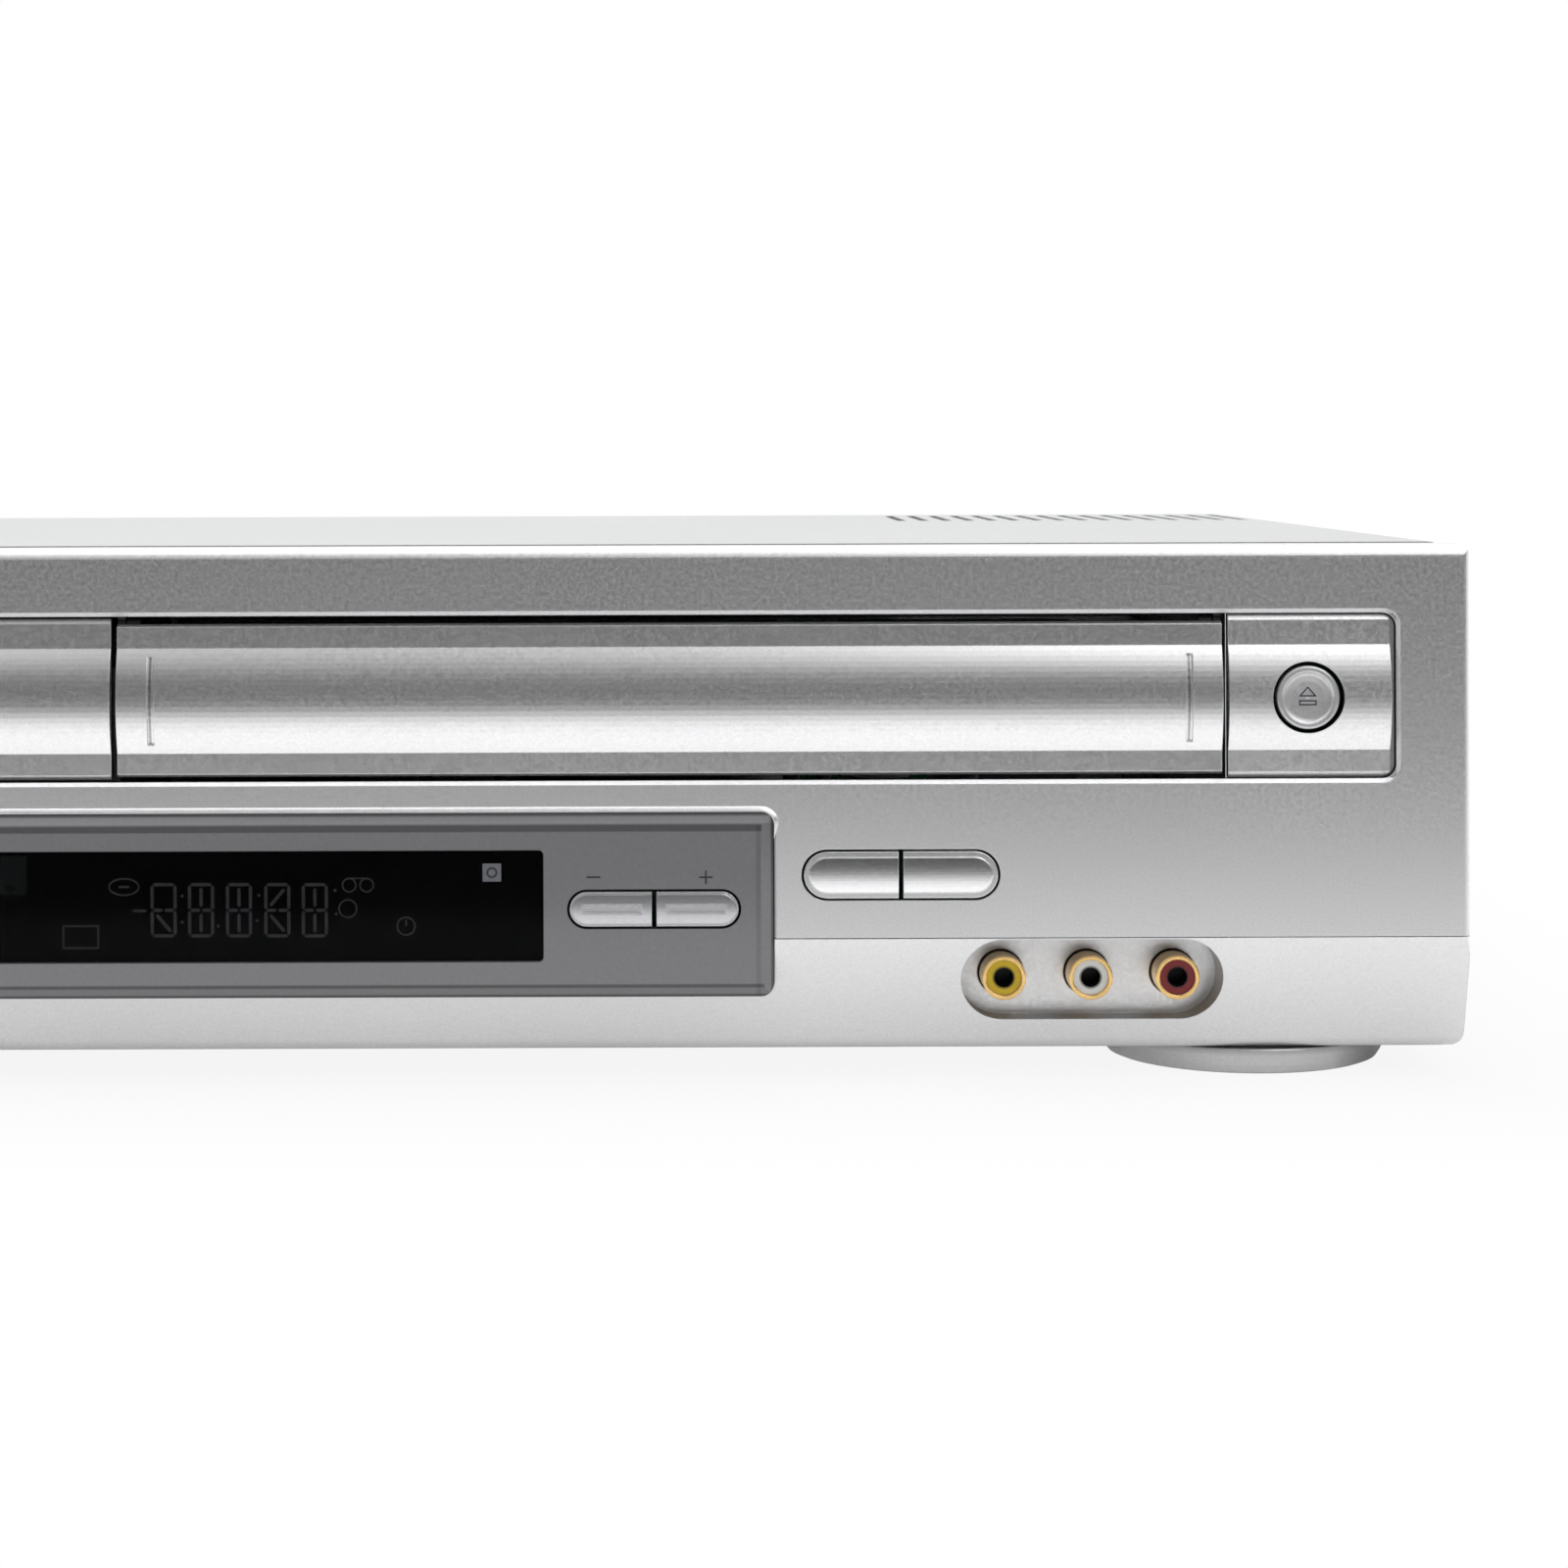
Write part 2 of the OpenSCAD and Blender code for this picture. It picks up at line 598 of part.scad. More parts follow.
// Length of the full round that a plug's sleeve slides over
front_plug_l = front_y + recess_d - jack_front_y - 0.7;
rear_plug_l = jack_proud - 0.8;

// A phono jack's barrel with its mouth at the origin, facing -Y.
module barrel(l, plug_l) rotate([-90, 0, 0]) difference() {
    union() {
        cylinder(h = plug_l, r = jack_r);
        cylinder(h = l, r = jack_r - 0.3);
    }
    translate([0, 0, -1]) cylinder(h = l, r = insert_r + 0.04);
}

module jack_barrels() color("goldenrod") {
    front_jack_places() barrel(barrel_l, front_plug_l);
    rear_jack_places() translate([0, total_d / 2, 0]) mirror([0, 1, 0]) barrel(rear_barrel_l, rear_plug_l);
}

module insert(l) rotate([-90, 0, 0]) difference() {
    translate([0, 0, 0.4]) cylinder(h = l - 1.6, r = insert_r);
    translate([0, 0, -1]) cylinder(h = l - 1.6, r = jack_hole_r);
}

module inserts(column) {
    translate([jack_x + (column - 1) * jack_pitch, jack_front_y, recess_z]) insert(barrel_l);
    for (g = rear_jacks, r = [0 : g[2] - 1])
        translate([g[0] + column * rear_pitch, total_d / 2, rear_row_z[r]])
            mirror([0, 1, 0]) insert(rear_barrel_l);
}
module yellow_inserts() color("gold") inserts(0);
module white_inserts() color("white") inserts(1);
module red_inserts() color("firebrick") inserts(2);

module circuit_boards() color("darkgreen") {
    difference() {
        block(board_x0, board_x1, board_y0, board_y1, board_z, board_z + board_t);
        for (s = [-1, 1]) rod_z(disc_x + s * leg_x, leg_y[1], board_z - 1, board_z + 3, leg_r + 1);
    }
    for (x = [board_x0 + 6, board_x1 - 6], y = [board_y0 + 6, board_y1 - 6])
        rod_z(x, y, floor_z + sheet, board_z + 0.1, 3);
    block(rear_jacks[0][0] - 36, rear_jacks[1][0] + 2 * rear_pitch + 18, rear_board_y,
        rear_board_y + board_t, floor_z + sheet, rear_row_z[1] + 14);
}

// Parts on the main board, from its left rear corner; places are x to the right and y to the front.
module power_parts() color("dimgray") translate([board_x0, board_y1, board_z + board_t]) {
    // Transformer: core and winding
    block(10, 46, -45, -15, 0, 30);
    block(14, 42, -51, -9, 5, 25);
    // Smoothing capacitors
    for (p = [[60, -41, 9, 26], [60, -19, 7, 24], [78, -45, 6, 20], [78, -27, 6, 20]])
        rod_z(p[0], p[1], 0, p[3], p[2]);
    // Finned heat sink
    block(94, 122, -27, -24, 0, 34);
    for (i = [0 : 5]) block(94 + 5 * i, 95.6 + 5 * i, -24.1, -13, 0, 34);
    // Chips
    for (p = [[26, -151, 18], [66, -131, 24], [116, -101, 20], [146, -161, 14]])
        block(p[0] - p[2] / 2, p[0] + p[2] / 2, p[1] - p[2] / 2, p[1] + p[2] / 2, 0, 2.5);
}

module tuner_box() color("silver") {
    block(tuner_x, tuner_x + tuner_w, rear_y - 47, rear_y - 1.5, board_z + board_t + 0.1, aerial_z[1] + 12);
    for (x = [tuner_x + 8, tuner_x + tuner_w - 8])
        block(x, x + 1, rear_y - 30, rear_y - 28, board_z + board_t, board_z + board_t + 2.4);
}

module rear_jack_block() color("black") for (g = rear_jacks)
    block(g[0] - 9, g[0] + (g[1] - 1) * rear_pitch + 9, rear_board_y + board_t, rear_y - 2,
        rear_row_z[0] - 9, rear_row_z[g[2] - 1] + 9);

module aerial_connectors() color("silver") for (z = aerial_z) difference() {
    union() {
        rod_y(aerial_x, total_d / 2 - rear_plug_l, total_d / 2, z, 4.75);
        rod_y(aerial_x, rear_y - 1.5, total_d / 2, z, 4.4);
        rod_y(aerial_x, rear_y - 1.5, rear_y - 0.2, z, 5);
    }
    rod_y(aerial_x, rear_y + 2, total_d / 2 + 1, z, 3.9);
}

module cord_gland() color("black") difference() {
    union() {
        rod_y(cord_x, rear_y - 4, rear_y + 0.1, cord_z, 5.8);
        rod_y(cord_x, rear_y + 0.1, rear_y + 3, cord_z, 8);
        rod_y(cord_x, rear_y - 4, rear_y - 1.4, cord_z, 7.2);
    }
    rod_y(cord_x, rear_y - 5, rear_y + 4, cord_z, 3.5);
}

module screw(l) {
    difference() {
        cylinder(h = 1.7, r = 4);
        translate([0, 0, 0.7]) for (a = [0, 90]) rotate([0, 0, a])
            translate([-2.4, -0.5, 0]) cube([4.8, 1, 2]);
    }
    translate([0, 0, -l]) cylinder(h = l + 0.1, r = 1.5);
}

module cover_screws() color("gray") {
    both_sides() for (y = side_screw_y) translate([cover_x, y, side_screw_z]) rotate([0, 90, 0]) screw(5);
    for (x = rear_screw_x) translate([x, rear_y, rear_screw_z]) rotate([-90, 0, 0]) screw(6);
}

module front_feet() color("lightgray") both_sides() translate([foot_x, front_y + foot_y, 0])
    rotate_extrude($fn = 96) polygon([
        [0, 0], [foot_r - 3, 0], [foot_r - 2, 0.4], [foot_r - 1.1, 1.8], [foot_r - 0.3, 4],
        [foot_r, 4.8], [foot_r - 0.2, 5.1], [foot_r - 1.2, 5.2], [foot_r - 2, 4.8], [foot_r - 5, 4.8],
        [foot_r - 5, floor_z], [0, floor_z]]);

module rear_feet() color("black") both_sides() translate([foot_x, rear_y - 27, 0])
    rotate_extrude() polygon([
        [0, 0], [rear_foot_r - 1, 0], [rear_foot_r, 1], [rear_foot_r, floor_z], [0, floor_z]]);

// ---- Disc loader ----

// Everything below is drawn about disc_x in X.
module loader_frame() color("dimgray") translate([disc_x, 0, 0]) {
    difference() {
        union() {
            block(-loader_x, loader_x, loader_y0, loader_y1, loader_z, loader_z + loader_floor);
            for (s = [-1, 1]) {
                loader_side(s, loader_x - loader_wall, loader_x, loader_y0, loader_y1, loader_z, loader_top);
                along_y(loader_y0, loader_y1 - 3) polygon(rail_points(s));
                for (y = [loader_y0 + 12, disc_y + 60])
                    loader_side(s, tray_w / 2 - 1.5, loader_x - 1.5, y, y + 18, tray_z + part_gap,
                        tray_z + 2.3);
            }
            block(-loader_x, loader_x, loader_y0, loader_y0 + 2, loader_z, gear_z - 1.2);
            block(-loader_x, loader_x, loader_y1 - 2, loader_y1, loader_z, loader_top);
        }
        block(-37, 37, disc_y - 22, sled_y1 + 8, loader_z - 1, loader_z + 5);
        rod_z(motor_x - disc_x, gear_y, loader_z - 1, loader_z + 5, 2.5);
    }
    // Legs
    for (s = [-1, 1], y = leg_y) rod_z(s * leg_x, y, floor_z + sheet, loader_z + 0.1, leg_r);
    // Shaft of the tray gear
    rod_z(gear_x - disc_x, gear_y, loader_z + loader_floor - 0.2, gear_z + 3.4, 1.5);
    // Walls that guide the lift cam
    for (y = [cam_y - 1.8, cam_y + 1.8])
        block(-35, 35, y, y + 1.5, loader_z + 1, loader_z + loader_floor + 2.4);
    // Pins that guide the traverse
    for (p = traverse_pins) rod_z(p[0], p[1], loader_z + 1, tray_z - tray_t - part_gap, 1.5);
}

// A block of the loader on side s, from x0 to x1 out of its middle.
module loader_side(s, x0, x1, y0, y1, z0, z1) block(min(s * x0, s * x1), max(s * x0, s * x1), y0, y1, z0, z1);

// Outline in X and Z of the rail that carries the tray on side s.
function rail_points(s) =
    let (outer = loader_x - 1.5, inner = tray_w / 2 - 2.5, wall = tray_w / 2 + part_gap,
        seat = tray_z - tray_t - part_gap)
    [for (p = [[outer, seat - 2.3], [inner, seat - 2.3], [inner, seat], [wall, seat], [wall, tray_z + 2.3],
        [outer, tray_z + 2.3]]) [s * p[0], p[1]]];

traverse_pins = [for (x = [-40, 40], y = [disc_y - 5, sled_y1 - 4]) [x, y]];

module clamp_bridge() color("silver") translate([disc_x, 0, 0]) difference() {
    union() {
        along_z(loader_top, loader_top + 1.2)
            polygon(rounded(-loader_x, disc_y - 19, loader_x, disc_y + 19, 3));
        for (s = [-1, 1])
            block(s * 45 - 12, s * 45 + 12, disc_y - 1, disc_y + 1, loader_top + 1, loader_top + 2.6);
    }
    rod_z(0, disc_y, loader_top - 1, loader_top + 3, 13.8);
}

module disc_clamp() color("white") translate([disc_x, disc_y, 0]) difference() {
    union() {
        cylinder_at(tray_z + 1.2, loader_top + 1.6, 13.2);
        cylinder_at(loader_top + 1.5, loader_top + 3, 17);
        cylinder_at(loader_top + 2.9, loader_top + 4.2, 8);
    }
    cylinder_at(tray_z, tray_z + 4.2, 8.5);
}
module cylinder_at(z0, z1, r) translate([0, 0, z0]) cylinder(h = z1 - z0, r = r);

module loading_motor() color("silver") translate([motor_x, gear_y, 0]) difference() {
    union() {
        cylinder_at(loader_z - 13, loader_z, 9.5);
        cylinder_at(loader_z - 15, loader_z - 12.9, 3);
        cylinder_at(loader_z - 0.1, loader_z + 1.5, 2.3);
    }
    cylinder_at(loader_z - 8, loader_z + 2, 1 + run_fit);
}

// Outline of a belt round a wheel of radius r0 at the origin and one of radius r1 at [-d, 0].
function belt_outline(r0, r1, d) = let (a = acos((r0 - r1) / d)) concat(
    arc(0, 0, r0, -(180 - a), 180 - a, 40), arc(-d, 0, r1, 180 - a, 180 + a, 24));

module loading_belt() color("black") translate([gear_x, gear_y, 0])
    along_z(pulley_z + 1.6, pulley_z + 2.8) difference() {
        polygon(belt_outline(pulley_r + 0.1, motor_pulley_r + 0.1, belt_span));
        polygon(belt_outline(pulley_r - 1, motor_pulley_r - 1, belt_span));
    }

// A pulley's rim with a groove for the belt.
module pulley(r) rotate_extrude() polygon([
    [0, 0], [r, 0], [r, 1], [r - 1.3, 1.1], [r - 1.3, 3.3], [r, 3.4], [r, 4.4], [0, 4.4]]);

module motor_pulley() color("gray") translate([motor_x, gear_y, 0]) {
    translate([0, 0, pulley_z]) pulley(motor_pulley_r);
    cylinder_at(loader_z - 7.5, pulley_z + 0.1, 1);
}

// Outline of an involute spur gear.
function gear_outline(m, n) =
    let (rp = m * n / 2, rb = rp * cos(20), ra = rp + m, rf = rp - 1.25 * m,
        roll = sqrt(pow(ra / rb, 2) - 1) * 180 / PI,
        half = 90 / n + (tan(20) - 20 * PI / 180) * 180 / PI - 0.35)
    [for (t = [0 : n - 1], k = [0 : 11])
        let (side = k < 6 ? -1 : 1, i = k < 6 ? k : 11 - k, u = roll * max(i - 1, 0) / 4,
            r = i == 0 ? rf : rb * sqrt(1 + pow(u * PI / 180, 2)),
            a = 360 * t / n + side * (half - (i == 0 ? 0 : u - atan(u * PI / 180))))
        [r * cos(a), r * sin(a)]];

module tray_gear() color("white") translate([gear_x, gear_y, 0]) difference() {
    union() {
        along_z(gear_z, gear_z + 3.4) polygon(gear_outline(gear_m, gear_teeth));
        translate([0, 0, pulley_z]) pulley(pulley_r);
        cylinder_at(pulley_z + 4.3, gear_z + 0.1, 6);
        cylinder_at(loader_z + loader_floor + part_gap, pulley_z + 0.1, 4);
    }
    cylinder_at(loader_z, tray_z, 1.5 + run_fit);
}

// Outline of the rack under the tray, with a gap between teeth at gear_y and its pitch line at rack_x.
function rack_outline(y0, y1) =
    let (p = PI * gear_m, n0 = ceil((y0 - gear_y) / p), n1 = floor((y1 - gear_y) / p) - 1)
    concat([[rack_x + 4.5, y0], [rack_x + 1.3 * gear_m, y0]],
    [for (i = [n0 : n1], k = [0 : 3])
        let (yc = gear_y + (i + 0.5) * p, w = p / 4 - 0.06,
            d = (k == 0 || k == 3) ? 1.3 * gear_m : -gear_m,
            s = k < 2 ? -1 : 1)
        [rack_x + d, yc + s * (w + d * tan(20))]],
    [[rack_x + 1.3 * gear_m, y1], [rack_x + 4.5, y1]]);

module disc_tray() color("darkslategray") translate([disc_x, 0, 0]) {
    difference() {
        along_z(tray_z - tray_t, tray_z)
            polygon(rounded(-tray_w / 2, door_back, tray_w / 2, door_back + tray_l, 2));
        rod_z(0, disc_y, tray_z - 2, tray_z + 1, disc_r);
        rod_z(0, disc_y, tray_z - 3, tray_z + 1, 41);
        rod_z(0, disc_y, tray_z - 10, tray_z + 1, 19);
        block(-21.5, 21.5, disc_y, door_back + tray_l + 1, tray_z - 10, tray_z + 1);
    }
    along_z(gear_z - 0.2, tray_z - tray_t + 0.1)
        polygon(rack_outline(door_back + 8, door_back + tray_l - 0.5));
}

module tray_door() color("silver") difference() {
    along_x(tray_x0, tray_x1)
        polygon(door_outline(bay_z + 0.4, bay_top - 0.4, door_back, bay_z + 1.2, bay_top - 1.3));
    along_x(tray_x0 + 6, tray_x0 + 7.1) polygon(bulge_strip(0.35, 18));
}

module lift_cam() color("white") translate([disc_x, 0, 0]) difference() {
    block(-33, 16.5, cam_y, cam_y + 1.5, loader_z + loader_floor + part_gap, tray_z - tray_t - 1);
    for (x = cam_pins) translate([x, 0, traverse_z + 1]) {
        rod_y(0, cam_y - 1, cam_y + 3, 0, 1.5);
        rod_y(-traverse_lift * cam_ratio, cam_y - 1, cam_y + 3, traverse_lift, 1.5);
        rotate([0, atan(1 / cam_ratio), 0]) translate([-cam_slot, cam_y - 1, -1.5]) cube([cam_slot, 4, 3]);
    }
}
cam_pins = [-12, 12];
cam_slot = sqrt(pow(traverse_lift, 2) + pow(traverse_lift * cam_ratio, 2));
plate_y0 = disc_y - 24.5;

module traverse_frame() color("silver") translate([disc_x, 0, 0]) {
    difference() {
        union() {
            block(-34, 34, plate_y0, sled_y1 + 5, traverse_z, traverse_z + 2);
            for (p = traverse_pins) {
                rod_z(p[0], p[1], traverse_z - 1, traverse_z + 3, 4);
                block(min(p[0], sign(p[0]) * 33), max(p[0], sign(p[0]) * 33), p[1] - 3, p[1] + 3,
                    traverse_z, traverse_z + 2);
            }
            for (s = [-1, 1], y = [sled_y0 - 4, sled_y1])
                block(s * sled_x - 3, s * sled_x + 3, y, y + 4, traverse_z + 1.9, traverse_z + 6.5);
        }
        block(-sled_x - 5, sled_x + 5, sled_y0, sled_y1, traverse_z - 1, traverse_z + 3);
        for (p = traverse_pins) rod_z(p[0], p[1], traverse_z - 3, traverse_z + 5, 1.5 + run_fit);
        rod_z(0, disc_y, traverse_z - 1, traverse_z + 3, 6);
    }
    for (s = [-1, 1]) rod_y(s * sled_x, sled_y0 - 0.1, sled_y1 + 0.1, traverse_z + 4.5, 1.5);
    for (x = cam_pins) rod_y(x, cam_y - 0.3, plate_y0 + 0.1, traverse_z + 1, 1.2);
}

module spindle_motor() color("gray") translate([disc_x, disc_y, 0]) difference() {
    union() {
        cylinder_at(traverse_z - 7.5, traverse_z, 13);
        cylinder_at(traverse_z - 0.1, traverse_z + 4, 5.5);
    }
    cylinder_at(traverse_z - 5, traverse_z + 5, 1.5 + run_fit);
}

module turntable() color("darkgray") translate([disc_x, disc_y, 0]) {
    cylinder_at(traverse_z - 4.6, traverse_z + 7, 1.5);
    cylinder_at(traverse_z + 6.9, traverse_z + 8.4, 14.5);
    translate([0, 0, traverse_z + 8.3]) cylinder(h = 2.3, r1 = 7.4, r2 = 6.2);
    cylinder_at(traverse_z + 4.3, traverse_z + 7, 6);
}

module optical_pickup() color("dimgray") translate([disc_x, disc_y, 0]) {
    difference() {
        union() {
            along_z(traverse_z + 2.3, traverse_z + 6.4)
                polygon(rounded(-sled_x - 4, 15, sled_x + 4, 41, 4));
            block(-9, 9, 18, 34, traverse_z + 6.3, traverse_z + 7.2);
        }
        for (s = [-1, 1]) {
            rod_y(s * sled_x, 0, 60, traverse_z + 4.5, 1.5 + run_fit);
            block(s * sled_x - 1.5, s * sled_x + 1.5, 21, 35, traverse_z + 2, traverse_z + 3.5);
        }
    }
    rod_z(0, 24, traverse_z + 7.1, traverse_z + 7.8, 3);
}

// ---- Cassette deck ----

module transport_plate() color("silver") {
    difference() {
        along_z(deck_z - deck_t, deck_z)
            polygon(rounded(deck_x - guide_x - 1.2, deck_y0, deck_x + guide_x + 1.2, deck_y1, 4));
        rod_z(capstan_x, capstan_y, deck_z - 3, deck_z + 1, 3);
        for (x = [-60, 0, 60]) along_z(deck_z - 3, deck_z + 1)
            polygon(rounded(deck_x + x - 18, deck_y0 + 14, deck_x + x + 18, deck_y0 + 48, 5));
    }
    for (s = [-1, 1], y = [deck_y0 + 8, deck_y1 - 13])
        rod_z(deck_x + s * (guide_x - 9.2), y, floor_z + sheet, deck_z - deck_t + 0.1, 4);
    for (s = [-1, 1]) rod_z(deck_x + s * reel_pitch / 2, reel_y, deck_z - 0.1, deck_z + 12, 2);
    rod_z(arm_x, arm_y, deck_z - 0.1, deck_z + 25, 2);
    difference() {
        rod_z(capstan_x, capstan_y, deck_z - 0.1, deck_z + 4.5, 5);
        rod_z(capstan_x, capstan_y, deck_z - 1, deck_z + 6, 1.5 + run_fit);
    }
}

module carriage_guides() color("gainsboro") {
    for (s = [-1, 1]) difference() {
        side_sheet(s, guide_x, 1.2, holder_y + 0.1, holder_y + 142.1, deck_z, guide_top);
        side_sheet(s, guide_x - 1, 4, slider_pins[0] - 1.8, slider_pins[1] + load_travel + 1.8,
            slider_pin_z - 1.8, slider_pin_z + 1.8);
    }
    along_z(guide_top, guide_top + 1) difference() {
        polygon(rounded(deck_x - guide_x - 1.2, holder_y + 0.1, deck_x + guide_x + 1.2, holder_y + 34.1, 1));
        for (x = [-50, 50])
            polygon(rounded(deck_x + x - 30, holder_y + 8.1, deck_x + x + 30, holder_y + 26.1, 3));
    }
}

// A sheet parallel to the YZ plane on side s of the deck, from x to x + t out of its middle.
module side_sheet(s, x, t, y0, y1, z0, z1)
    block(deck_x + min(s * x, s * (x + t)), deck_x + max(s * x, s * (x + t)), y0, y1, z0, z1);

holder_z = bay_z - 1;
guide_top = bay_z + cassette_h + sheet + 2.4;
holder_pins = [holder_y + 16.1, holder_y + 52.1];
holder_pin_z = bay_z + 13;
slider_pins = [holder_y + 14.1, holder_y + 56.1];
slider_pin_z = bay_z + 20;

module carriage_slider() color("gray") for (s = [-1, 1]) {
    difference() {
        side_sheet(s, slider_x, 0.8, holder_y + 8.1, holder_y + 60.1, holder_pin_z - drop_travel - 4,
            slider_pin_z + 3);
        for (y = holder_pins)
            side_sheet(s, slider_x - 1, 3, y - 1.8, y + 1.8, holder_pin_z - drop_travel - 2,
                holder_pin_z + 2);
    }
    for (y = slider_pins) rod_x(deck_x + min(s * (slider_x + 0.7), s * (guide_x + 1.1)),
        deck_x + max(s * (slider_x + 0.7), s * (guide_x + 1.1)), y, slider_pin_z, 1.5);
}

module cassette_holder() color("silver") {
    inside = holder_x - sheet;
    top = bay_z + cassette_h;
    for (s = [-1, 1]) {
        side_sheet(s, inside, sheet, holder_y, holder_y + holder_l, holder_z, top + sheet);
        side_sheet(s, inside - 15, 15.1, holder_y, holder_y + holder_l, holder_z, bay_z);
        for (y = holder_pins)
            rod_x(deck_x + min(s * (holder_x - 0.1), s * (slider_x + 0.7)),
                deck_x + max(s * (holder_x - 0.1), s * (slider_x + 0.7)), y, holder_pin_z, 1.5);
    }
    along_z(top, top + sheet) difference() {
        polygon(rounded(deck_x - inside - 0.1, holder_y + 4, deck_x + inside + 0.1, holder_y + 40, 1));
        for (x = [deck_x - 60, deck_x, deck_x + 60])
            polygon(rounded(x - 22, holder_y + 12, x + 22, holder_y + 32, 4));
    }
}

module reel() {
    difference() {
        union() {
            cylinder_at(deck_z + 0.5, deck_z + 3, 18);
            cylinder_at(deck_z + 2.9, deck_z + 15, 6.5);
            for (a = [0, 120, 240]) rotate([0, 0, a]) translate([5, -1, deck_z + 2.9]) cube([3.6, 2, 10]);
        }
        cylinder_at(deck_z - 1, deck_z + 12.5, 2 + run_fit);
    }
}
module supply_reel() color("ivory") translate([deck_x - reel_pitch / 2, reel_y, 0]) reel();
module take_up_reel() color("ivory") translate([deck_x + reel_pitch / 2, reel_y, 0]) reel();

module capstan() color("gray") translate([capstan_x, capstan_y, 0]) {
    cylinder_at(deck_z - 10, deck_z + 26, 1.5);
    cylinder_at(deck_z - 10, deck_z - 3.2, 21);
}

module capstan_motor() color("dimgray") translate([capstan_x, capstan_y, 0]) {
    cylinder_at(floor_z + sheet, deck_z - 10.4, 20);
}

module pinch_arm() color("silver") translate([arm_x, arm_y, 0]) rotate([0, 0, arm_a]) {
    difference() {
        union() {
            along_z(deck_z + 18.5, deck_z + 20.5) polygon(pill(-4, arm_l + 3, 0, 7));
            cylinder_at(deck_z + 16, deck_z + 22, 4);
        }
        cylinder_at(deck_z, deck_z + 30, 2 + run_fit);
    }
    translate([arm_l, 0, 0]) {
        cylinder_at(deck_z + 4, deck_z + 19, 1.5);
        cylinder_at(deck_z + 5, deck_z + 17.5, 6);
    }
}

module on_drum() translate([drum_x, drum_y, drum_z]) rotate([-drum_tilt, 0, 0]) children();

module drum_base() color("silver") difference() {
    union() {
        rod_z(drum_x, drum_y, deck_z, drum_z + 3, 22);
        on_drum() cylinder(h = 11, r = drum_r);
    }
    on_drum() translate([0, 0, 3]) cylinder(h = 10, r = 3 + run_fit);
}

module head_drum() color("lightgray") on_drum() {
    translate([0, 0, 11.4]) cylinder(h = 10, r = drum_r);
    translate([0, 0, 21.3]) cylinder(h = 1.6, r = 12);
    translate([0, 0, 4]) cylinder(h = 8, r = 3);
}

module tape_posts() color("silver") {
    for (p = [[-62, -44], [-40, -28], [36, -28], [28, -40]])
        translate([drum_x + p[0], drum_y + p[1], deck_z]) {
        cylinder(h = 20, r = 2);
        cylinder(h = 2, r = 5);
        translate([0, 0, 17.9]) cylinder(h = 2.1, r = 3.2);
    }
    for (p = [[-72, -64, 8], [40, -44, 6]])
        translate([drum_x + p[0], drum_y + p[1], deck_z]) cube([p[2], p[2], 17]);
}

// ---- Cassette door and buttons ----

module cassette_door() color("silver") {
    difference() {
        along_x(vhs_x0, vhs_x1) polygon(door_outline(door_z, door_top, door_back));
        for (x = [vhs_x0 + 5.8, vhs_x1 - 6.8]) along_x(x, x + 1.2) polygon(bulge_strip(0.6, 18.5));
        // Notches for the lugs
        for (x = [vhs_x0 - 1, vhs_x1 - lug_t - 0.3]) {
            rod_x(x, x + lug_t + 1.3, pin_y, pin_z, lug_r + part_gap);
            block(x, x + lug_t + 1.3, pin_y - 1.7, pin_y + 5, pin_z, door_top + 1);
        }
    }
    // Ears with the hinge pins
    for (s = [0, 1]) {
        x = s == 0 ? vhs_x0 + lug_t + 0.3 : vhs_x1 - lug_t - 0.3 - 2.5;
        along_x(x, x + 2.5) union() {
            translate([pin_y, pin_z]) circle(r = lug_r);
            polygon([[door_back - 1, pin_z + 0.5], [pin_y + 1, pin_z + 0.9], [pin_y + 1, pin_z - 1],
                [door_back - 0.1, pin_z - 4], [door_back - 1, pin_z - 4]]);
        }
        if (s == 0) rod_x(vhs_x0 + 0.1, x + 0.1, pin_y, pin_z, door_pin_r);
        if (s == 1) rod_x(x + 2.4, vhs_x1 - 0.1, pin_y, pin_z, door_pin_r);
    }
}

module plunger(x, z, y0, y1) rod_y(x, y0, y1, z, 1.8);

// One half of a pill-shaped pair of buttons, with a step around its crowned middle.
module half_button(x0, x1, z, h, left, face, switch_x, step) {
    along_y(face + 0.45, face + 4.6) polygon(half_pill(x0, x1, z, h, left));
    intersection() {
        along_y(face - 0.1, face + 0.6)
            polygon(half_pill(left ? x0 + step : x0, left ? x1 : x1 - step, z, h - 2 * step, left));
        along_x(x0 - 1, x1 + 1) polygon(concat([[face + 3, z + h / 2], [face + 3, z - h / 2]],
            [for (a = [-8 : 8]) [face + crown_r - crown_r * cos(a), z + crown_r * sin(a)]]));
    }
    plunger(switch_x, z, face + 4.5, plunger_y);
}

module pair_button(x, w, z, h, left, face, switch_dx, step = 1.05) {
    g = button_gap;
    if (left) half_button(x - w / 2 + g, x - g, z, h - 2 * g, true, face, x - switch_dx, step);
    else half_button(x + g, x + w / 2 - g, z, h - 2 * g, false, face, x + switch_dx, step);
}
crown_r = 32;
button_face = front_y - 0.6;
lens_face = front_y - lens_proud;

// A round button with a shallow dish, from its face at y back to a plunger that ends at end_y.
module round_button(x, z, face, end_y) {
    r = round_hole_d / 2 - round_gap;
    translate([x, face, z]) rotate([-90, 0, 0]) rotate_extrude($fn = 72) polygon([
        [0, 0.7], [1.5, 0.69], [3, 0.63], [r - 1.9, 0.5], [r - 1.45, 0.38], [r - 1.15, 0.08], [r - 0.95, 0],
        [r - 0.45, 0], [r - 0.12, 0.12], [r, 0.45], [r, 4.6], [0, 4.6]]);
    plunger(x, z, face + 4.5, end_y);
}

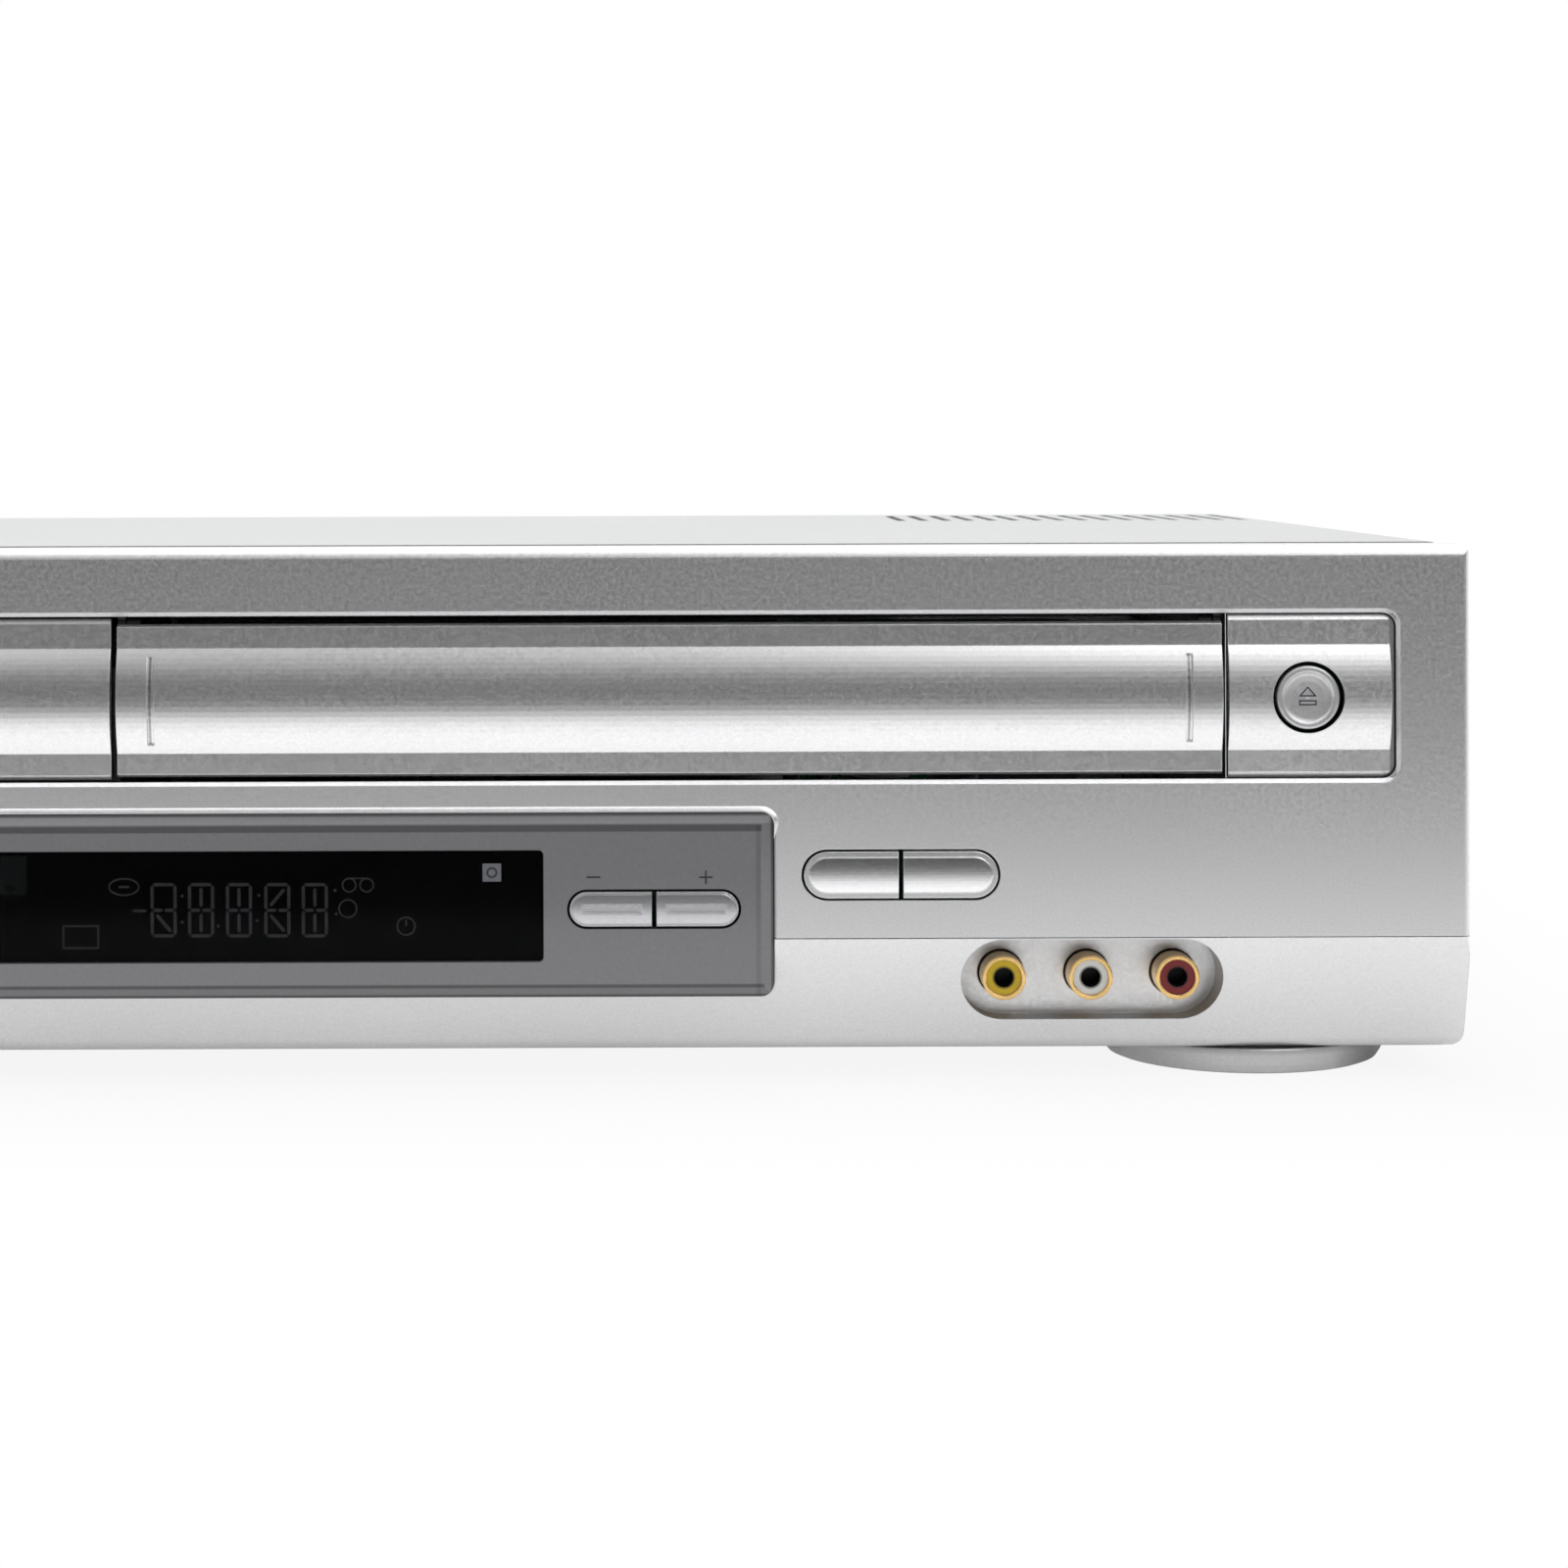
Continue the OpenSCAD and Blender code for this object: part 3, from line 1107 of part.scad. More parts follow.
module eject_button() color("lightgray")
    round_button(eject_x, bulge_mid, band_y - bulge + 0.5, key_board_y - switch_d - button_travel - 0.1);
module open_close_button() color("lightgray") mirror([1, 0, 0])
    round_button(eject_x, bulge_mid, band_y - bulge + 0.5, key_board_y - switch_d - button_travel - 0.1);
module power_button() color("lightgray") round_button(-power_x, select_z, button_face, plunger_y);

// A raised bar on a channel button's face, with a slot along it.
module channel_bar(x) difference() {
    block(x - 5.6, x + 5.6, lens_face - 0.5, lens_face + 1, channel_z - 0.95, channel_z + 0.95);
    block(x - 5.1, x + 5.1, lens_face - 1, lens_face - 0.32, channel_z - 0.5, channel_z + 0.5);
}
module channel_down_button() color("silver") {
    pair_button(channel_x, channel_w, channel_z, channel_h, true, lens_face - 0.3, 8, 0.5);
    channel_bar(channel_x - 7.9);
}
module channel_up_button() color("silver") {
    pair_button(channel_x, channel_w, channel_z, channel_h, false, lens_face - 0.3, 8, 0.5);
    channel_bar(channel_x + 7.9);
}
module select_one_button() color("silver")
    pair_button(select_x, select_w, select_z, select_h, true, button_face, 9);
module select_two_button() color("silver")
    pair_button(select_x, select_w, select_z, select_h, false, button_face, 9);
module play_button() color("silver")
    pair_button(-select_x, select_w, select_z, select_h, true, button_face, 9);
module stop_button() color("silver")
    pair_button(-select_x, select_w, select_z, select_h, false, button_face, 9);

top_cover();
base_chassis();
rear_panel();
front_panel();
lower_fascia();
display_window();
display_mask();
display_tube();
left_bay_trim();
right_bay_trim();
front_boards();
jack_barrels();
yellow_inserts();
white_inserts();
red_inserts();
front_feet();
rear_feet();
circuit_boards();
power_parts();
tuner_box();
rear_jack_block();
aerial_connectors();
cord_gland();
cover_screws();
loader_frame();
clamp_bridge();
disc_clamp();
loading_motor();
loading_belt();
motor_pulley();
tray_gear();
disc_tray();
tray_door();
lift_cam();
traverse_frame();
spindle_motor();
turntable();
optical_pickup();
transport_plate();
carriage_guides();
carriage_slider();
cassette_holder();
supply_reel();
take_up_reel();
capstan();
capstan_motor();
pinch_arm();
head_drum();
drum_base();
tape_posts();
cassette_door();
eject_button();
open_close_button();
power_button();
channel_down_button();
channel_up_button();
select_one_button();
select_two_button();
play_button();
stop_button();
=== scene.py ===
import math
from functools import cache

import bmesh
import bpy
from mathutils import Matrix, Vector
from mathutils.bvhtree import BVHTree


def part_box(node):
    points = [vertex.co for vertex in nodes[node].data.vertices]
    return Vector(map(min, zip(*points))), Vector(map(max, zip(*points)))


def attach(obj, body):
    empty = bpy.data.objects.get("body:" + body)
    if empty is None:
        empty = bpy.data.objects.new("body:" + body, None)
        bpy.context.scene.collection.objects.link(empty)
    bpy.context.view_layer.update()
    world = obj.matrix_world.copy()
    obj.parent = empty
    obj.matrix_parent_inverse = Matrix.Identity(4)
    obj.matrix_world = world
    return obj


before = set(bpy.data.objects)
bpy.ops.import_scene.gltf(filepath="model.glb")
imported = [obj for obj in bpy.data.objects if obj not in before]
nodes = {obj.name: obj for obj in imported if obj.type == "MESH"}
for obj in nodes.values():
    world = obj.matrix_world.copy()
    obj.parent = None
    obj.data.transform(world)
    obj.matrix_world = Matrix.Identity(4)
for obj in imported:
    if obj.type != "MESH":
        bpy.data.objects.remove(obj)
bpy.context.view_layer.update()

scene = bpy.context.scene
scene.view_settings.view_transform = "Standard"
MM = 0.001


# ---------------------------------------- places in the frame, in millimetres
def box_mm(name):
    """A node's lowest and highest corners at rest."""
    return [tuple(round(value / MM, 2) for value in corner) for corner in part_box(name)]


def middle_of(name):
    """The middle of a node seen from the front, as x and z."""
    low, high = box_mm(name)
    return round((low[0] + high[0]) / 2, 1), round((low[2] + high[2]) / 2, 1)


window_low, window_high = box_mm("display_window")
mask_low, mask_high = box_mm("display_mask")
door_low, door_high = box_mm("cassette_door")
panel_high = box_mm("front_panel")[1]
front_y = door_low[1]                         # face of the doors and the trims
rear_y = box_mm("jack_barrels")[1][1]         # face of the rear jacks
eject_x, eject_z = middle_of("eject_button")

PANEL_SIDE, PANEL_TOP = 1.1, 1.2              # outer skin of the front panel
PANEL_PAINT, DOOR_PAINT = 1.75, 2.5           # how far back from front_y the paint goes
EJECT_HOLE_R = 6.69
GROOVE_FROM_END, GROOVE_HALF_WIDTH = 6.25, 0.22
GROOVE_Z, GROOVE_HALF_HEIGHT = 72.3, 8.2
JACKS_X, JACKS_Z, JACK_PITCH = 145.1, 19.2, 16.35
JACK_HOLE_FRONT, JACK_HOLE_REAR = 6.25, 0.7   # from front_y and rear_y
INSERT_RIM_R = 2.15
RECESS_HALF_WIDTH, RECESS_HALF_HEIGHT = 25.1, 8.6
FOOT_X = 173.0
FOOT_BRIGHT_Z, FOOT_DARK_Z = 3.6, 5.2
FOOT_BRIGHT_R, FOOT_DARK_R = 19, 28
CLEAR_INSET, CLEAR_R = 0.8, 1.0               # the clear part of the window over the display mask
WINDOW_EDGE_R = 0.3
EDGE_DARK, EDGE_BRIGHT = 0.35, 0.65           # from the window's outline, between which its painted shade fades out
# Levels of painted shade: grooves, recess walls, insert rims, foot tops, foot ends, window edges.
GROOVE_SHADE, WALL_SHADE, RIM_SHADE = 0.5, 0.34, 0.3
FOOT_TOP_SHADE, FOOT_SIDE_SHADE, EDGE_SHADE = 0.55, 0.4, 0.35


# ---------------------------------------------------------------- shader nodes
def material(name):
    mat = bpy.data.materials.new(name)
    mat.use_nodes = True
    mat.node_tree.nodes.clear()
    return mat, mat.node_tree


def add(tree, kind, values=None, **settings):
    """A node with its settings, and with each input linked to a socket or set to a value."""
    node = tree.nodes.new("ShaderNode" + kind)
    for key, value in settings.items():
        setattr(node, key, value)
    for key, value in (values or {}).items():
        socket = node.inputs[key]
        if isinstance(value, bpy.types.NodeSocket):
            tree.links.new(value, socket)
        else:
            socket.default_value = value
    return node


def math_node(tree, operation, *values):
    return add(tree, "Math", dict(enumerate(values)), operation=operation).outputs[0]


def times(tree, a, b):
    return math_node(tree, "MULTIPLY", a, b)


def minus(tree, a, b):
    return math_node(tree, "SUBTRACT", a, b)


def size_of(tree, value):
    return math_node(tree, "ABSOLUTE", value)


def reach_of(tree, a, b):
    """The distance from (0, 0) to (a, b)."""
    return math_node(tree, "SQRT", math_node(tree, "ADD", times(tree, a, a), times(tree, b, b)))


def ranged(tree, value, low, high, start=0.0, end=1.0, kind="LINEAR"):
    """low to high while value goes from start to end, and no further."""
    inputs = {"Value": value, "From Min": start, "From Max": end, "To Min": low, "To Max": high}
    return add(tree, "MapRange", inputs, interpolation_type=kind).outputs[0]


def smooth(tree, value, low, high, start, end):
    """As ranged, with a soft start and end."""
    return ranged(tree, value, low, high, start, end, "SMOOTHSTEP")


def spread(tree, value, low, high):
    """low to high over the levels that a noise mostly has."""
    return ranged(tree, value, low, high, 0.3, 0.7)


def grey_of(tree, level):
    return add(tree, "CombineColor", {0: level, 1: level, 2: level}).outputs[0]


def mix_colour(tree, factor, a, b, blend="MIX"):
    a, b = (value if isinstance(value, bpy.types.NodeSocket) else (*value, 1) for value in (a, b))
    return add(tree, "Mix", {0: factor, 6: a, 7: b}, data_type="RGBA", blend_type=blend).outputs[2]


def toned(tree, colour, level):
    """A colour times a level."""
    return mix_colour(tree, 1.0, grey_of(tree, level), colour, "MULTIPLY")


def place(tree):
    return add(tree, "TexCoord").outputs["Object"]


def position(tree):
    """The x, y and z of a point on the object, in metres."""
    return add(tree, "SeparateXYZ", {0: place(tree)}).outputs


def noise(tree, scale, detail=2.0, rough=0.5, vector=None):
    return add(tree, "TexNoise", {"Vector": vector or place(tree), "Scale": scale, "Detail": detail,
                                  "Roughness": rough}).outputs["Fac"]


def rounded(tree, radius):
    """A normal that rounds the edges by radius, in millimetres."""
    return add(tree, "Bevel", {"Radius": radius * MM}, samples=4).outputs[0]


def output(tree, shader):
    add(tree, "OutputMaterial", {"Surface": shader})


def principled(tree, **values):
    """The principled shader, with its inputs given by their names."""
    inputs = {key.replace("_", " "): value for key, value in values.items()}
    return add(tree, "BsdfPrincipled", inputs).outputs[0]


# ------------- places on the surface: values in metres, limits in millimetres
def offset(tree, value, middle):
    return minus(tree, value, middle * MM)


def less(tree, value, limit):
    """1 where value is less than limit."""
    return math_node(tree, "LESS_THAN", value, limit * MM)


def beyond(tree, value, limit, soft=0.08):
    """1 where value is past limit, with a soft edge."""
    return ranged(tree, value, 0.0, 1.0, (limit - soft) * MM, (limit + soft) * MM)


def short_of(tree, value, limit, soft=0.08):
    """1 where value is short of limit, with a soft edge."""
    return minus(tree, 1.0, beyond(tree, value, limit, soft))


def within(tree, value, middle, half):
    """1 where value is within half of middle."""
    return short_of(tree, size_of(tree, offset(tree, value, middle)), half)


def past_straight(tree, value, start, end, radius):
    """How far value is past the straight part of a side with rounded ends."""
    off = size_of(tree, offset(tree, value, (start + end) / 2))
    return math_node(tree, "MAXIMUM", offset(tree, off, (end - start) / 2 - radius), 0.0)


def shaded(tree, mask, level):
    """1, but level where mask is 1."""
    return ranged(tree, mask, 1.0, level)


def behind_panel(tree, x, y, z):
    """Inside the front panel, but not its outer sides and top."""
    inner = times(tree, less(tree, size_of(tree, x), panel_high[0] - PANEL_SIDE),
                  less(tree, z, panel_high[2] - PANEL_TOP))
    return times(tree, inner, beyond(tree, y, front_y + PANEL_PAINT))


def behind_door(tree, x, y, z):
    return beyond(tree, y, front_y + DOOR_PAINT)


def behind_trim(tree, x, y, z):
    """Behind a bay trim's face, and the wall of its button's hole."""
    reach = reach_of(tree, offset(tree, size_of(tree, x), eject_x), offset(tree, z, eject_z))
    return math_node(tree, "MAXIMUM", less(tree, reach, EJECT_HOLE_R), behind_door(tree, x, y, z))


def painted_jack_hole_shade(tree, x, y, z):
    """Painted shade down the hole of a jack at the front or the rear, dark as the real hole and its contact.
    """
    return times(tree, beyond(tree, y, front_y + JACK_HOLE_FRONT), less(tree, y, rear_y - JACK_HOLE_REAR))


def door_lines(tree, x, y, z):
    """The shadow in the two upright grooves of the cassette door."""
    left, right = (within(tree, x, middle, GROOVE_HALF_WIDTH)
                   for middle in (door_low[0] + GROOVE_FROM_END, door_high[0] - GROOVE_FROM_END))
    lines = math_node(tree, "MAXIMUM", left, right)
    return shaded(tree, times(tree, lines, within(tree, z, GROOVE_Z, GROOVE_HALF_HEIGHT)), GROOVE_SHADE)


def painted_recess_shade(tree, x, y, z):
    """Painted shade on the walls of the jacks' recess, where they face sideways."""
    inside = times(tree, within(tree, x, JACKS_X, RECESS_HALF_WIDTH),
                   within(tree, z, JACKS_Z, RECESS_HALF_HEIGHT))
    normal = add(tree, "NewGeometry").outputs["Normal"]
    forward = size_of(tree, add(tree, "SeparateXYZ", {0: normal}).outputs[1])
    return shaded(tree, times(tree, inside, ranged(tree, forward, 1.0, 0.0, 0.45, 0.7)), WALL_SHADE)


def insert_shade(tree, x, y, z):
    """Painted shade round the inner edge of the front jacks' inserts, for a sunken look."""
    half = JACK_PITCH / 2 * MM
    along_row = math_node(tree, "WRAP", offset(tree, x, JACKS_X), half, -half)
    reach = reach_of(tree, along_row, offset(tree, z, JACKS_Z))
    rim = times(tree, less(tree, y, 0.0), short_of(tree, reach, INSERT_RIM_R, 0.12))
    return shaded(tree, rim, RIM_SHADE)


def foot_shade(tree, x, y, z):
    """Painted shade on the feet: darker at their tops, in the case's shadow, and at their two ends, in place
    of the dark they reflect there.
    """
    side = size_of(tree, offset(tree, size_of(tree, x), FOOT_X))
    return times(tree, ranged(tree, z, 1.0, FOOT_TOP_SHADE, FOOT_BRIGHT_Z * MM, FOOT_DARK_Z * MM),
                 ranged(tree, side, 1.0, FOOT_SIDE_SHADE, FOOT_BRIGHT_R * MM, FOOT_DARK_R * MM))


# ------------------------------------------------------------------- materials
DRIFT_SCALE = 16.0
# The dark moulding where the paint ends, and painted shade down the jack holes.
UNPAINTED_AND_HOLE_SHADE = (0.012, 0.012, 0.013)
UNPAINTED_ROUGH = 0.5
COAT_ROUGH = 0.1


def finish(name, colour, rough, metallic=0.0, grain=900.0, amount=0.05, drift=0.03, bump=0.1, height=0.02,
           rough_amount=0.05, stretch=None, coat=0.0, specular=0.5, bare_and_hole_shade=None, edge=0.0, dim=None):
    """A surface with a fine grain in its colour, gloss and relief, and a slow drift in its tone.

    amount, drift and rough_amount are how far the colour, the tone and the gloss vary, and height is the
    grain's relief in millimetres. stretch squeezes the grain along an axis. bare_and_hole_shade tells where
    the paint ends and the dark moulding shows, and on the jack inserts where painted shade darkens the
    holes.
    edge is the radius, in millimetres, that the light sees along the edges, and dim gives painted shade:
    how much darker a place is."""
    mat, tree = material(name)
    where = place(tree)
    if stretch:
        where = add(tree, "Mapping", {"Vector": where, "Scale": stretch}).outputs[0]
    fine = noise(tree, grain, 2.0, 0.6, where)
    slow = noise(tree, DRIFT_SCALE, 3.0)
    tone = math_node(tree, "ADD", spread(tree, fine, -amount, amount),
                     spread(tree, slow, 1 - drift, 1 + drift))
    base = toned(tree, colour, tone)
    if dim:
        base = toned(tree, base, dim(tree, *position(tree)))
    gloss = spread(tree, noise(tree, grain * 0.6, vector=where), rough - rough_amount, rough + rough_amount)
    relief = {"Strength": bump, "Distance": height * MM, "Height": fine}
    if edge:
        relief["Normal"] = rounded(tree, edge)
    normal = add(tree, "Bump", relief).outputs[0]
    # Where the paint ends the dark moulding shows; on the jack inserts the same dark is painted shade down
    # the holes.
    if bare_and_hole_shade:
        unpainted_and_hole_shade = bare_and_hole_shade(tree, *position(tree))
        base = mix_colour(tree, unpainted_and_hole_shade, base, UNPAINTED_AND_HOLE_SHADE)
        metallic = ranged(tree, unpainted_and_hole_shade, metallic, 0.0)
        gloss = math_node(tree, "MAXIMUM", gloss, ranged(tree, unpainted_and_hole_shade, 0.0, UNPAINTED_ROUGH))
    output(tree, principled(tree, Base_Color=base, Metallic=metallic, Roughness=gloss, Normal=normal,
                            Coat_Weight=coat, Coat_Roughness=COAT_ROUGH, Specular_IOR_Level=specular))
    return mat


def painted_lens_edge_light(tree, x, z):
    """Painted shade and highlights on the window's bevels and along its edges."""
    from_side = minus(tree, window_high[0] * MM, size_of(tree, x))
    from_top = minus(tree, window_high[2] * MM, z)
    from_low = offset(tree, z, window_low[2])
    nearest = math_node(tree, "MINIMUM", from_side, math_node(tree, "MINIMUM", from_top, from_low))
    tone = ranged(tree, nearest, EDGE_SHADE, 1.0, EDGE_DARK * MM, EDGE_BRIGHT * MM)
    # Each line: from which edge, clear of which other edge, its start and end in millimetres, its tone: a
    # painted highlight above 1, painted shade below 1.
    lines = ((from_top, from_side, 0.7, 2.0, 1.45), (from_top, from_side, 2.2, 3.5, 0.5),
             (from_low, from_side, 1.8, 2.5, 0.45), (from_side, from_top, 2.4, 3.3, 0.8))
    for reach, other, start, end, level in lines:
        line = times(tree, beyond(tree, reach, start, 0.15), short_of(tree, reach, end, 0.15))
        line = times(tree, line, beyond(tree, other, start, 0.15))
        tone = times(tree, tone, shaded(tree, line, level))
    return tone


def lens_material():
    """Grey gloss plastic, clear and smoked over the display."""
    mat, tree = material("lens")
    x, _, z = position(tree)
    out_x = past_straight(tree, x, mask_low[0] + CLEAR_INSET, mask_high[0], CLEAR_R)
    out_z = past_straight(tree, z, mask_low[2], mask_high[2], CLEAR_R)
    clear = short_of(tree, reach_of(tree, out_x, out_z), CLEAR_R, 0.1)
    grey = mix_colour(tree, noise(tree, 1300.0, 2.0, 0.6), (0.235, 0.235, 0.245), (0.285, 0.285, 0.295))
    # The grey carries painted shade and highlights along the window's edges.
    base = mix_colour(tree, clear, toned(tree, grey, painted_lens_edge_light(tree, x, z)), (0.30, 0.30, 0.33))
    gloss = times(tree, spread(tree, noise(tree, 40.0, 3.0), 0.16, 0.22), shaded(tree, clear, 0.4))
    output(tree, principled(tree, Base_Color=base, Roughness=gloss, IOR=1.10, Transmission_Weight=clear,
                            Normal=rounded(tree, WINDOW_EDGE_R), Coat_Weight=ranged(tree, clear, 0.9, 0.0),
                            Coat_Roughness=0.12, Coat_IOR=1.5))
    return mat


def board_material():
    """Green solder mask over copper tracks, with painted shade: black on the boards behind the lower front,
    which show only through its holes.
    """
    mat, tree = material("board")
    cells = add(tree, "TexVoronoi", {"Vector": place(tree), "Scale": 240.0}, distance="MANHATTAN",
                feature="F1").outputs["Distance"]
    track = ranged(tree, cells, 0.0, 1.0, 0.34, 0.40)
    fine = noise(tree, 800.0)
    base = mix_colour(tree, track, (0.012, 0.11, 0.045), (0.03, 0.20, 0.08))
    base = mix_colour(tree, ranged(tree, fine, 0.0, 0.3, 0.4, 0.7), base, (0.01, 0.07, 0.03))
    # Painted shade: the boards behind the lower front are drawn black.
    _, y, z = position(tree)
    painted_low_front_shade = times(tree, less(tree, y, -100), less(tree, z, 29))
    base = mix_colour(tree, painted_low_front_shade, base, (0.006, 0.006, 0.006))
    relief = add(tree, "Bump", {"Strength": 0.3, "Distance": 0.04 * MM, "Height": track}).outputs[0]
    output(tree, principled(tree, Base_Color=base, Roughness=ranged(tree, fine, 0.28, 0.42), Normal=relief))
    return mat


def steel_material():
    """Zinc-plated sheet with a faint spangle."""
    mat, tree = material("zinc_sheet")
    spangle = add(tree, "TexVoronoi", {"Vector": place(tree), "Scale": 210.0}).outputs["Color"]
    tone = add(tree, "SeparateColor", {0: spangle}).outputs[0]
    base = mix_colour(tree, tone, (0.50, 0.51, 0.53), (0.64, 0.65, 0.67))
    fine = noise(tree, 1500.0)
    gloss = math_node(tree, "ADD", ranged(tree, tone, 0.30, 0.42), spread(tree, fine, -0.04, 0.04))
    output(tree, principled(tree, Base_Color=base, Metallic=0.9, Roughness=gloss))
    return mat


SILVER = dict(grain=2200.0, drift=0.012, bump=0.05, height=0.008, edge=0.3)
KEY = dict(grain=2400.0, bump=0.03, height=0.006)
# The inserts get painted shade down their holes and round their inner edges.
INSERT = dict(grain=700.0, rough_amount=0.03, bare_and_hole_shade=painted_jack_hole_shade, dim=insert_shade)
# A finish for each of the record's material slots, and three more that OWN_FINISH gives to single nodes.
MATERIALS = {
    "cover_paint": finish("cover_paint_fine", (0.63, 0.635, 0.64), 0.44, 0.5, grain=1500.0, drift=0.015,
                          bump=0.2, height=0.03),
    "sheet_steel": steel_material(),
    "rear_paint": finish("rear_paint_fine", (0.085, 0.087, 0.092), 0.52, 0.2, grain=1100.0, amount=0.1,
                         bump=0.3, height=0.05),
    "panel_silver": finish("panel_paint", (0.81, 0.81, 0.82), 0.38, 0.85, bare_and_hole_shade=behind_panel, **SILVER),
    "fascia_silver": finish("fascia_paint", (0.92, 0.92, 0.925), 0.35, 0.75, dim=painted_recess_shade, **SILVER),
    "door_silver": finish("door_paint", (0.89, 0.89, 0.90), 0.325, 0.85, rough_amount=0.04, bare_and_hole_shade=behind_door,
                          dim=door_lines, **SILVER),
    "trim_silver": finish("trim_paint", (0.89, 0.89, 0.90), 0.36, 0.85, bare_and_hole_shade=behind_trim, **SILVER),
    "button_silver": finish("button_paint", (0.88, 0.88, 0.89), 0.24, 0.95, amount=0.03, rough_amount=0.02,
                            edge=0.3, **KEY),
    "key_silver": finish("key_paint", (0.72, 0.72, 0.73), 0.38, 0.60, amount=0.03, edge=0.3, **KEY),
    "rocker_grey": finish("rocker_paint", (0.60, 0.60, 0.62), 0.24, 0.75, amount=0.04, rough_amount=0.02,
                          edge=0.25, **KEY),
    "lens_grey": lens_material(),
    "mask_black": finish("mask_satin", (0.004, 0.004, 0.005), 0.6, amount=0.2, specular=0.1),
    "tube_glass": finish("tube_dark", (0.02, 0.025, 0.03), 0.12, grain=300.0, amount=0.2, coat=0.6),
    "board_green": board_material(),
    "part_black": finish("moulded_black", (0.022, 0.022, 0.024), 0.45, grain=1300.0, amount=0.25, bump=0.3,
                         height=0.03),
    "gold": finish("gold_plate", (0.84, 0.56, 0.23), 0.22, 1.0, grain=600.0, amount=0.02, bump=0.0,
                   rough_amount=0.02, stretch=(1.0, 6.0, 1.0), edge=0.6),
    "jack_yellow": finish("moulded_yellow", (0.78, 0.54, 0.008), 0.33, amount=0.06, **INSERT),
    "jack_white": finish("moulded_white", (0.90, 0.90, 0.86), 0.33, amount=0.04, **INSERT),
    "jack_red": finish("moulded_red", (0.25, 0.008, 0.012), 0.32, amount=0.08, **INSERT),
    "foot_silver": finish("foot_paint", (0.80, 0.80, 0.805), 0.38, 0.75, grain=2000.0, drift=0.02, edge=0.3,
                          dim=foot_shade),
    "foot_rubber": finish("rubber", (0.03, 0.03, 0.031), 0.75, amount=0.2, bump=0.4, height=0.05),
    "plastic_grey": finish("moulded_grey", (0.20, 0.20, 0.205), 0.48, grain=1200.0, amount=0.1, bump=0.3,
                           height=0.03),
    "plastic_white": finish("moulded_cream", (0.62, 0.62, 0.59), 0.42, bump=0.2),
    "machined_steel": finish("turned_steel", (0.60, 0.60, 0.61), 0.34, 1.0, grain=500.0, amount=0.08,
                             height=0.01, stretch=(1.0, 1.0, 8.0)),
    "belt_rubber": finish("belt", (0.02, 0.02, 0.02), 0.6, amount=0.2, bump=0.3, height=0.03),
}
OWN_FINISH = {
    "left_bay_trim": "trim_silver", "right_bay_trim": "trim_silver",
    "eject_button": "key_silver", "open_close_button": "key_silver", "power_button": "key_silver",
    "channel_down_button": "rocker_grey", "channel_up_button": "rocker_grey",
}

for name, node in nodes.items():
    for slot in node.material_slots:
        slot.material = MATERIALS[OWN_FINISH.get(name) or slot.material.name.split(".")[0]]


# ------------------------------------------- lines, in millimetres as (x, z)
def between(a, b, count):
    """count even steps from a towards b, without b itself."""
    return [(a[0] + (b[0] - a[0]) * i / count, a[1] + (b[1] - a[1]) * i / count) for i in range(count)]


def along(points, step):
    """A closed line with no stretch longer than step."""
    result = []
    for a, b in zip(points, points[1:] + points[:1]):
        result += between(a, b, max(1, math.ceil(math.hypot(b[0] - a[0], b[1] - a[1]) / step)))
    return result


def split(points, count=4):
    """A closed line with each stretch in count parts."""
    return [point for a, b in zip(points, points[1:] + points[:1]) for point in between(a, b, count)]


def inset(points, width):
    """A closed anticlockwise line moved inwards by width."""
    result = []
    count = len(points)
    for i in range(count):
        (ax, az), (bx, bz), (cx, cz) = points[i - 1], points[i], points[(i + 1) % count]
        ux, uz = bx - ax, bz - az
        vx, vz = cx - bx, cz - bz
        lu, lv = math.hypot(ux, uz), math.hypot(vx, vz)
        nx, nz = -uz / lu - vz / lv, ux / lu + vx / lv
        length = math.hypot(nx, nz)
        nx, nz = nx / length, nz / length
        lean = nx * -uz / lu + nz * ux / lu
        result.append((bx + nx * width / lean, bz + nz * width / lean))
    return result


def oval(cx, cz, rx, rz, count=28):
    """A closed line round (cx, cz), anticlockwise."""
    turns = [2 * math.pi * i / count for i in range(count)]
    return [(cx + rx * math.cos(turn), cz + rz * math.sin(turn)) for turn in turns]


def bar(x0, z0, x1, z1):
    return [(x0, z0), (x1, z0), (x1, z1), (x0, z1)]


def cross(cx, cz, reach, half):
    """A plus sign."""
    quarter = [(half, reach), (half, half), (reach, half)]
    line = []
    for _ in range(4):
        line += quarter
        quarter = [(z, -x) for x, z in quarter]
    return [(cx + x, cz + z) for x, z in reversed(line)]


def stroke(ax, az, bx, bz, width):
    """A bar with pointed ends, as in a segment display."""
    length = math.hypot(bx - ax, bz - az)
    ux, uz = (bx - ax) / length * width / 2, (bz - az) / length * width / 2
    return [(ax, az), (ax + ux + uz, az + uz - ux), (bx - ux + uz, bz - uz - ux), (bx, bz),
            (bx - ux - uz, bz - uz + ux), (ax + ux - uz, az + uz + ux)]


# --------------------------------------------------------------- printed marks
ROUND_FROM = 12      # an outline of so many points is fine enough, and isn't split
STEP = 0.8           # longest stretch of a filled mark's outline
LINE = 0.24          # width of the printed lines


@cache
def surface(node):
    mesh = nodes[node].data
    return BVHTree.FromPolygons([v.co for v in mesh.vertices], [p.vertices for p in mesh.polygons])


def front_of(node, x, z):
    """The y of a node's front at x and z, in metres."""
    hit = surface(node).ray_cast(Vector((x * MM, -1, z * MM)), Vector((0, 1, 0)))
    return hit[0].y


def make_object(mesh, name, mat):
    data = bpy.data.meshes.new(name)
    mesh.to_mesh(data)
    mesh.free()
    data.materials.append(mat)
    piece = bpy.data.objects.new(name, data)
    scene.collection.objects.link(piece)
    return piece


